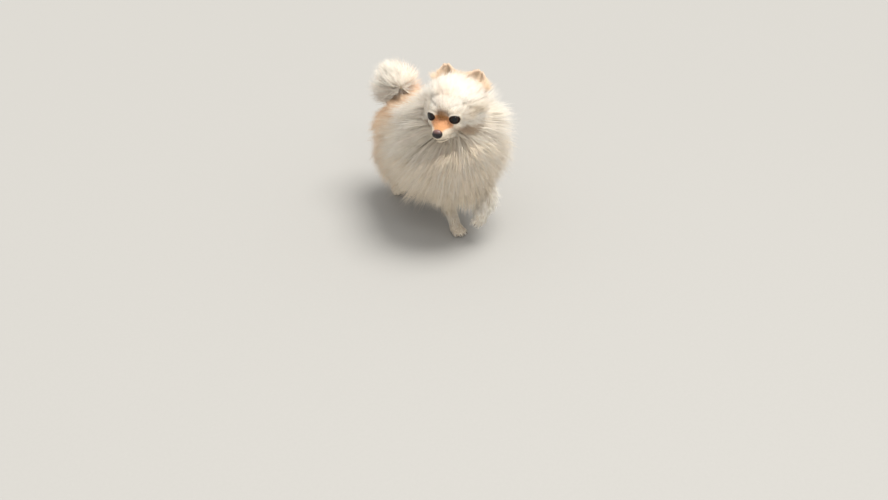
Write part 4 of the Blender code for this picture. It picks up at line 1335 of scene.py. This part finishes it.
def toes(ankle, ahead, up):
    """The middles of a paw's four toes, and the way that each points."""
    side = ahead.cross(up).normalized()
    for k in range(4):
        spread = k - 1.5
        reach = 0.0128 if k in (1, 2) else 0.0095
        toe = ankle + ahead * (0.0035 + reach) + side * spread * 0.0056 - up * 0.0032
        yield toe, (ahead + side * spread * 0.10).normalized()


def bare_body():
    bm = bmesh.new()
    add_chain(bm, TORSO)
    add_chain(bm, NECK)
    add_chain(bm, TAIL)
    for name, stations in LEGS.items():
        add_chain(bm, stations)
        add_paw(bm, Vector(stations[-1][:3]), *PAWS[name])
    body = new_object("body_skin", bm)
    fuse(body, 0.0018, 3)
    floor_cut = bmesh.new()
    bmesh.ops.create_cube(floor_cut, size=1.0, matrix=Matrix.Translation((0, 0, -0.5 + 0.0002)))
    boolean(body, "DIFFERENCE", [new_object("below_floor", floor_cut)])
    return body


def vertex_places(thing):
    places = np.empty(len(thing.data.vertices) * 3, np.float32)
    thing.data.vertices.foreach_get("co", places)
    return places.reshape(-1, 3).astype(float)


def line_distance(places, line):
    """Distance to a line through points."""
    best = np.full(len(places), 1e9)
    for first, second in zip(line, line[1:]):
        start, way = np.array(first), np.array(second) - np.array(first)
        share = np.clip((places - start) @ way / (way @ way), 0, 1)
        best = np.minimum(best, np.linalg.norm(places - start - share[:, None] * way, axis=1))
    return best


def sink_mouth(skin):
    """Presses the line of the mouth into the lips."""
    places = vertex_places(skin)
    normals = np.empty(len(places) * 3, np.float32)
    skin.data.vertices.foreach_get("normal", normals)
    normals = normals.reshape(-1, 3)
    local = in_head(places)
    for side in (-1, 1):
        gap = line_distance(local, [both(p, side) for p in MOUTH])
        depth = 0.0007 * (1 - ramp(gap, 0.0, 0.0014))
        places = places - normals * depth[:, None]
    skin.data.vertices.foreach_set("co", places.astype(np.float32).ravel())
    skin.data.update()


def colour_skin(skin):
    """The coat's colours, with their painted light and shade, over the skin, bare dark rims and lips, and pink inside
    the ears.
    """
    face = settings().face
    places = vertex_places(skin)
    local = in_head(places)
    parts = part_of(places)
    colours = coat_colours_and_painted_light(places, parts) * np.array((0.80, 0.74, 0.66))
    for side in (-1, 1):
        look, left, up = (np.array(v) for v in eye_axes(side))
        off = places - np.array(eye_point(side))
        level = np.hypot((off @ left) / EYE_OPENING[0], (off @ up) / EYE_OPENING[1])
        rim = (1 - ramp(level, 1.12, 1.28)) * (off @ look > 0.002)
        colours = blend(colours, face.rim[:], rim)
        lips = 1 - ramp(line_distance(local, [both(p, side) for p in MOUTH]), 0.0005, 0.0012)
        colours = blend(colours, face.rim[:], lips * (0.35 + 0.55 * ramp(local[:, 0], 0.027, 0.040)))
    cup = (parts == "ear") * ear_inside(local)
    colours = blend(colours, face.ear_skin[:], cup)
    write_colours(skin, colours)


def ear_inside(local):
    """1 in front of the ears' middle sheet, and 0 behind it."""
    inside = np.zeros(len(local))
    for side in (-1, 1):
        base, tip = np.array(both(EAR_BASE, side)), np.array(both(EAR_TIP[side], side))
        up = (tip - base) / np.linalg.norm(tip - base)
        face = np.array((0.98, 0.12 * side, 0))
        face = face - up * (face @ up)
        ahead = (local - base) @ (face / np.linalg.norm(face))
        own = local[:, 1] * side > 0
        inside = np.where(own, ramp(ahead, -0.004, 0.001), inside)
    return inside


class MakeEyes(bpy.types.Operator):
    """Makes the two eyeballs, each with a pupil, an iris and a cornea that stands out"""

    bl_idname = "pomeranian.eyes"
    bl_label = "Eyes"

    def execute(self, context):
        look_of = eye_material(settings().face.iris[:])
        for side, name in ((-1, "eye_right"), (1, "eye_left")):
            made = eyeball(name.replace("eye", "eyeball"), side)
            set_in_frame(made, look_of, "eye", name)
        return {"FINISHED"}


def eyeball(name, side):
    look, left, up = eye_axes(side)
    bm = bmesh.new()
    add_ball(bm, Vector((0, 0, 0)), (1, 1, 1), (left, up, look), 64)
    for vert in bm.verts:
        gaze = vert.co.normalized().dot(look)
        bulge = 0.05 * float(ramp(np.array(gaze), 0.74, 0.95))
        vert.co = eye_point(side) + vert.co * EYE_RADIUS * (1 + bulge)
    made = new_object(name, bm)
    off = vertex_places(made) - np.array(eye_point(side))
    gaze = unit(off) @ np.array(look)
    attribute = made.data.attributes.new("Gaze", "FLOAT", "POINT")
    attribute.data.foreach_set("value", np.clip(gaze, 0, 1).astype(np.float32))
    return made


class MakeNose(bpy.types.Operator):
    """Makes the nose leather, with comma-shaped nostrils and the groove below them"""

    bl_idname = "pomeranian.nose"
    bl_label = "Nose"

    def execute(self, context):
        face = settings().face
        bm = bmesh.new()
        add_ball(bm, head_point(*NOSE_PLACE), NOSE_SIZE, HEAD_AXES, 32)
        wing = (0.0044, 0.0034, 0.0042)
        for side in (-1, 1):
            place = (NOSE_PLACE[0] + 0.0005, 0.0042 * side, NOSE_PLACE[2] - 0.0008)
            add_ball(bm, head_point(*place), wing, HEAD_AXES, 20)
        made = new_object("nose_leather", bm)
        fuse(made, 0.0003, 4)
        boolean(made, "DIFFERENCE", nostrils())
        fuse(made, 0.0003, 2)
        height = (in_head(vertex_places(made))[:, 2] - NOSE_PLACE[2]) / (2 * NOSE_SIZE[2]) + 0.5
        attribute = made.data.attributes.new("Height", "FLOAT", "POINT")
        attribute.data.foreach_set("value", height.astype(np.float32))
        set_in_frame(made, nose_material(face.nose_top_highlight[:], face.nose_front[:]), "nose", "nose")
        return {"FINISHED"}


def nostrils():
    """Two commas that curl outwards, and the groove between and below them."""
    forward, _, up = NOSE_PLACE
    front = forward + NOSE_SIZE[0]
    pieces = []
    for side in (-1, 1):
        bm = bmesh.new()
        comma = (
            (front - 0.0004, 0.0026 * side, up - 0.0002, 0.0015, 0.0017),
            (front - 0.0009, 0.0040 * side, up - 0.0004, 0.0013, 0.0014),
            (front - 0.0022, 0.0056 * side, up - 0.0012, 0.0008, 0.0009),
            (front - 0.0036, 0.0066 * side, up - 0.0022, 0.0005, 0.0006),
        )
        add_chain(bm, head_stations(comma), HEAD_AXES)
        pieces.append(fused_piece("nostril", bm))
    bm = bmesh.new()
    groove = (
        (front + 0.0001, 0, up + 0.0010, 0.0004, 0.0006),
        (front - 0.0002, 0, up - 0.0030, 0.0004, 0.0007),
        (front - 0.0030, 0, up - 0.0062, 0.0004, 0.0008),
    )
    add_chain(bm, head_stations(groove), HEAD_AXES)
    pieces.append(fused_piece("groove", bm))
    return pieces


def fused_piece(name, bm):
    made = new_object(name, bm)
    fuse(made, 0.00025, 1)
    return made


def tube(name, lines, radius, taper, material, slot):
    """Curved hairs or threads as one mesh: each line is a row of points, thinned towards its end."""
    curve = bpy.data.curves.new(name, "CURVE")
    curve.dimensions = "3D"
    curve.bevel_depth = radius
    curve.bevel_resolution = 1
    curve.use_fill_caps = True
    for line in lines:
        spline = curve.splines.new("POLY")
        spline.points.add(len(line) - 1)
        for i, place in enumerate(line):
            spline.points[i].co = (*place, 1)
            spline.points[i].radius = 1 - taper * i / (len(line) - 1)
    bent = bpy.data.objects.new(name + "_curve", curve)
    bpy.context.scene.collection.objects.link(bent)
    graph = bpy.context.evaluated_depsgraph_get()
    mesh = bpy.data.meshes.new_from_object(bent.evaluated_get(graph))
    bpy.data.objects.remove(bent)
    made = bpy.data.objects.new(name, mesh)
    bpy.context.scene.collection.objects.link(made)
    return set_in_frame(made, material, slot)


class MakeLips(bpy.types.Operator):
    """Makes the thin dark edge of the lower lip"""

    bl_idname = "pomeranian.lips"
    bl_label = "Lips"

    def execute(self, context):
        look = bare_skin_material("damp_lip_skin", settings().face.rim[:], 0.35, 0.0008)
        lip = MOUTH[:3]
        line = [both(p, -1) for p in reversed(lip)] + [both(p, 1) for p in lip]
        rows = smooth_row(head_stations([(f - 0.0006, l * 0.98, u - 0.0002, 0, 0) for f, l, u in line]), 5)
        tube("lips", [[Vector(row[:3]) for row in rows]], 0.00026, 0.0, look, "nose")
        return {"FINISHED"}


class MakeWhiskers(bpy.types.Operator):
    """Makes the whiskers of the muzzle and the brows"""

    bl_idname = "pomeranian.whiskers"
    bl_label = "Whiskers"

    def execute(self, context):
        longest = settings().face.whisker_length
        draw = np.random.default_rng(3)
        lines = []
        for side in (-1, 1):
            for row in range(3):
                for k in range(4):
                    root = (0.0370 - 0.0042 * k, (0.0085 + 0.0011 * k) * side, -0.0185 - 0.0026 * row)
                    way = Vector((0.25 - 0.25 * k, (0.90 - 0.10 * row) * side, 0.10 - 0.28 * row))
                    lines.append(whisker(root, way, longest * draw.uniform(0.55, 1.0), draw))
            for k in range(3):
                root = (0.0200 - 0.003 * k, (0.0100 + 0.0020 * k) * side, 0.0125)
                lines.append(whisker(root, Vector((0.5, 0.35 * side, 0.8)), longest * 0.45, draw))
        look = bare_skin_material("whisker_keratin", linear("#E9E2D6"), 0.4, 0.003)
        tube("whiskers", lines, 0.00013, 0.85, look, "coat")
        return {"FINISHED"}


def whisker(root, way, length, draw):
    """A row of points that leaves the muzzle and bends back and down."""
    way = (way + Vector(draw.normal(0, 0.10, 3))).normalized()
    points = []
    for i in range(7):
        t = i / 6
        f, l, u = (root[k] + way[k] * length * t for k in range(3))
        points.append(head_point(f - 0.20 * length * t * t, l, u - 0.18 * length * t * t))
    return points


class MakeClaws(bpy.types.Operator):
    """Makes four curved claws for each paw"""

    bl_idname = "pomeranian.claws"
    bl_label = "Claws"

    def execute(self, context):
        bm = bmesh.new()
        for name, stations in LEGS.items():
            ahead, up = PAWS[name]
            for toe, way in toes(Vector(stations[-1][:3]), ahead, up):
                claw = []
                for t in (0.0, 0.35, 0.7, 1.0):
                    place = toe + way * (0.0046 + 0.0050 * t) - up * (-0.0006 + 0.0022 * t * t)
                    size = 0.0010 * (1 - 0.72 * t)
                    claw.append((*place, size, size))
                add_chain(bm, claw, steps=4)
        made = new_object("claws", bm)
        fuse(made, 0.00022, 1)
        set_in_frame(made, bare_skin_material("claw_horn", settings().face.claw[:], 0.35, 0.002), "claw")
        return {"FINISHED"}


class MakePads(bpy.types.Operator):
    """Makes the pads under each paw"""

    bl_idname = "pomeranian.pads"
    bl_label = "Paw pads"

    def execute(self, context):
        bm = bmesh.new()
        for name, stations in LEGS.items():
            ahead, up = PAWS[name]
            ankle = Vector(stations[-1][:3])
            side = ahead.cross(up).normalized()
            sole = 0.0068
            for toe, way in toes(ankle, ahead, up):
                add_ball(bm, toe - up * (sole - 0.0042), (0.0026, 0.0036, 0.0022), (side, way, up), 12)
            add_ball(bm, ankle + ahead * 0.0050 - up * (sole - 0.0004), (0.0056, 0.0046, 0.0024), (side, ahead, up), 16)
        made = new_object("paw_pads", bm)
        fuse(made, 0.0005, 3)
        floor_cut = bmesh.new()
        bmesh.ops.create_cube(floor_cut, size=1.0, matrix=Matrix.Translation((0, 0, -0.5)))
        boolean(made, "DIFFERENCE", [new_object("below_floor", floor_cut)])
        set_in_frame(made, bare_skin_material("pad_skin", linear("#3B2C2A"), 0.65, 0.0009), "nose")
        return {"FINISHED"}


class GrowFaceCoat(bpy.types.Operator):
    """Grows the short fine coat of the muzzle, round the eyes and on the forehead"""

    bl_idname = "pomeranian.face_coat"
    bl_label = "Coat of the face"

    def execute(self, context):
        def wanted(places, facing, parts):
            return (parts == "head") * on_face(places) * hairy(places)

        coat_piece("coat_face", "coat", wanted, 3.1e6, lie_of_head, 11, clump=0.0025, pull=0.35, rings=(0.0, 0.5))
        return {"FINISHED"}


def on_face(places):
    """1 on the front of the head, where the coat is short."""
    forward, left, up = in_head(places).T
    return ramp(forward - 0.10 * up, -0.002, 0.014)


def hairy(places):
    """0 on the eyelids' edges, in the eye sockets, on the lips and under the nose."""
    local = in_head(places)
    bare = np.zeros(len(places), bool)
    for side in (-1, 1):
        look, left, up = (np.array(v) for v in eye_axes(side))
        off = places - np.array(eye_point(side))
        level = np.hypot((off @ left) / EYE_OPENING[0], (off @ up) / EYE_OPENING[1])
        bare |= (level < 1.16) & (off @ look > -0.002)
        bare |= np.linalg.norm(off, axis=1) < EYE_RADIUS + 0.0006
        bare |= line_distance(local, [both(p, side) for p in MOUTH]) < 0.0004 + 0.0004 * ramp(local[:, 0], 0.027, 0.040)
    bare |= ball_distance(local, NOSE_PLACE, [r * 1.06 for r in NOSE_SIZE]) < 1
    return (~bare).astype(float)


class GrowHeadCoat(bpy.types.Operator):
    """Grows the longer coat of the crown, the cheeks and the ears"""

    bl_idname = "pomeranian.head_coat"
    bl_label = "Coat of the head and ears"

    def execute(self, context):
        def back_of_head(places, facing, parts):
            return (parts == "head") * (1 - on_face(places)) * hairy(places)

        def ears(places, facing, parts):
            cup = ear_inside(in_head(places)) * ramp(ear_height(in_head(places)), 0.9, 0.3)
            return (parts == "ear") * (1 - 0.40 * cup)

        coat_piece("coat_head", "coat", back_of_head, 1.45e6, lie_of_head, 12, clump=0.004, pull=0.18)
        coat_piece("coat_ears", "ear", ears, 1.9e6, lie_of_ears, 13, clump=0.003, pull=0.12, rings=(0.0, 0.5))
        return {"FINISHED"}


class GrowRuff(bpy.types.Operator):
    """Grows the ruff round the neck and the bib on the chest"""

    bl_idname = "pomeranian.ruff"
    bl_label = "Ruff and bib"

    def execute(self, context):
        for side, name in ((-1, "coat_ruff_right"), (1, "coat_ruff_left")):

            def wanted(places, facing, parts, side=side):
                return (parts == "neck") * ((places[:, 0] + 0.004) * side > 0)

            coat_piece(name, "coat", wanted, 1.5e6, lie_of_body, 20 + side, pull=0.30)

        def chest(places, facing, parts):
            return (parts == "torso") * (places[:, 1] < -0.045)

        coat_piece("coat_bib", "coat", chest, 0.98e6, lie_of_body, 24, pull=0.36)
        return {"FINISHED"}


class GrowBodyCoat(bpy.types.Operator):
    """Grows the coat of the sides, the back, the rump and the thighs"""

    bl_idname = "pomeranian.body_coat"
    bl_label = "Coat of the body"

    def execute(self, context):
        for side, name in ((-1, "coat_side_right"), (1, "coat_side_left")):

            def flank(places, facing, parts, side=side):
                return (parts == "torso") * (places[:, 1] >= -0.045) * (places[:, 1] < 0.045) * (places[:, 0] * side > 0)

            def rump(places, facing, parts, side=side):
                return (parts == "torso") * (places[:, 1] >= 0.045) * (places[:, 0] * side > 0)

            def thigh(places, facing, parts, side=side):
                return (parts == "thigh") * (places[:, 0] * side > 0)

            coat_piece(name, "coat", flank, 0.62e6, lie_of_body, 30 + side)
            coat_piece(name.replace("side", "rump"), "coat", rump, 0.75e6, lie_of_body, 34 + side)
            coat_piece(name.replace("side", "thigh"), "coat", thigh, 0.85e6, lie_of_body, 38 + side)
        return {"FINISHED"}


class GrowLegCoat(bpy.types.Operator):
    """Grows the short coat of the legs and paws"""

    bl_idname = "pomeranian.leg_coat"
    bl_label = "Coat of the legs"

    def execute(self, context):
        for front, name in ((1, "coat_forelegs"), (0, "coat_hind_feet")):

            def wanted(places, facing, parts, front=front):
                fore = places[:, 1] < 0.02
                sole = (places[:, 2] < 0.0035) | (facing[:, 2] < -0.8) & (places[:, 2] < 0.008)
                return (parts == "leg") * (fore == bool(front)) * ~sole

            coat_piece(name, "coat", wanted, 0.65e6, lie_of_legs, 50 + front, clump=0.004, pull=0.3, rings=(0.0, 0.5))
        return {"FINISHED"}


class GrowPlume(bpy.types.Operator):
    """Grows the plume of the tail"""

    bl_idname = "pomeranian.plume"
    bl_label = "Plume of the tail"

    def execute(self, context):
        def wanted(places, facing, parts):
            return (parts == "tail").astype(float)

        coat_piece("coat_plume", "tail_coat", wanted, 2.0e6, lie_of_tail, 60, clump=0.005, pull=0.30)
        return {"FINISHED"}


# The stage


class SetStage(bpy.types.Operator):
    """Sets the floor, the lights and the camera"""

    bl_idname = "pomeranian.stage"
    bl_label = "Stage"

    def execute(self, context):
        stage = settings().stage
        bm = bmesh.new()
        bmesh.ops.create_grid(bm, x_segments=1, y_segments=1, size=8.0)
        floor = new_object("floor", bm)
        floor.data.materials.append(floor_material(stage.floor[:]))
        key = add_light("key", "SUN", (0.38, -0.12, 1.40), stage.key_strength, (1.0, 0.97, 0.92))
        key.angle = math.radians(34)
        catch = add_light("catch_light", "AREA", (-0.10, -0.95, 1.10), stage.catch_power, (1.0, 1.0, 1.0))
        catch.shape = "DISK"
        catch.size = 0.22
        context.scene.view_settings.view_transform = "Standard"
        world = bpy.data.worlds.new("studio")
        world.use_nodes = True
        background = world.node_tree.nodes["Background"]
        background.inputs["Color"].default_value = (1.0, 0.985, 0.96, 1)
        background.inputs["Strength"].default_value = stage.room_strength
        context.scene.world = world
        set_camera(context, stage.lens)
        return {"FINISHED"}


def add_light(name, kind, place, power, colour):
    """A light that faces the dog's middle."""
    data = bpy.data.lights.new(name, kind)
    data.energy = power
    data.color = colour
    light = bpy.data.objects.new(name, data)
    light.location = Vector(place) + TO_FRAME
    aim = Vector((0, 0, 0.13)) - Vector(place)
    light.rotation_euler = aim.to_track_quat("-Z", "Y").to_euler()
    bpy.context.scene.collection.objects.link(light)
    return data


def set_camera(context, lens):
    """The photograph's camera, fitted to the eyes, nose, ears, feet and outline."""
    data = bpy.data.cameras.new("camera")
    data.sensor_width = 36.0
    data.lens = lens
    camera = bpy.data.objects.new("camera", data)
    camera.location = Vector((-0.4863, -0.8960, 0.6387)) + TO_FRAME
    aim = Vector((0.3979, 0.7145, -0.5755))
    camera.rotation_euler = aim.to_track_quat("-Z", "Y").to_euler()
    context.scene.collection.objects.link(camera)
    context.scene.camera = camera


STEPS = (
    MakeSkin,
    MakeEyes,
    MakeNose,
    MakeLips,
    MakeWhiskers,
    MakeClaws,
    MakePads,
    GrowFaceCoat,
    GrowHeadCoat,
    GrowRuff,
    GrowBodyCoat,
    GrowLegCoat,
    GrowPlume,
    SetStage,
)


class PomeranianPanel(bpy.types.Panel):
    """The dog's settings and the steps that make it"""

    bl_idname = "VIEW3D_PT_pomeranian"
    bl_label = "Pomeranian"
    bl_space_type = "VIEW_3D"
    bl_region_type = "UI"
    bl_category = "Pomeranian"

    def draw(self, context):
        dog = context.scene.pomeranian
        for group in (dog.coat, dog.face, dog.stage):
            box = self.layout.box()
            for name in group.__annotations__:
                box.prop(group, name)
        for step in STEPS:
            self.layout.operator(step.bl_idname)


CLASSES = (CoatSettings, FaceSettings, StageSettings, PomeranianSettings, *STEPS, PomeranianPanel)


def register():
    for item in CLASSES:
        bpy.utils.register_class(item)
    bpy.types.Scene.pomeranian = PointerProperty(type=PomeranianSettings)


def unregister():
    del bpy.types.Scene.pomeranian
    for item in reversed(CLASSES):
        bpy.utils.unregister_class(item)


def main():
    register()
    for step in STEPS:
        group, name = step.bl_idname.split(".")
        getattr(getattr(bpy.ops, group), name)()


if __name__ == "__main__":
    main()
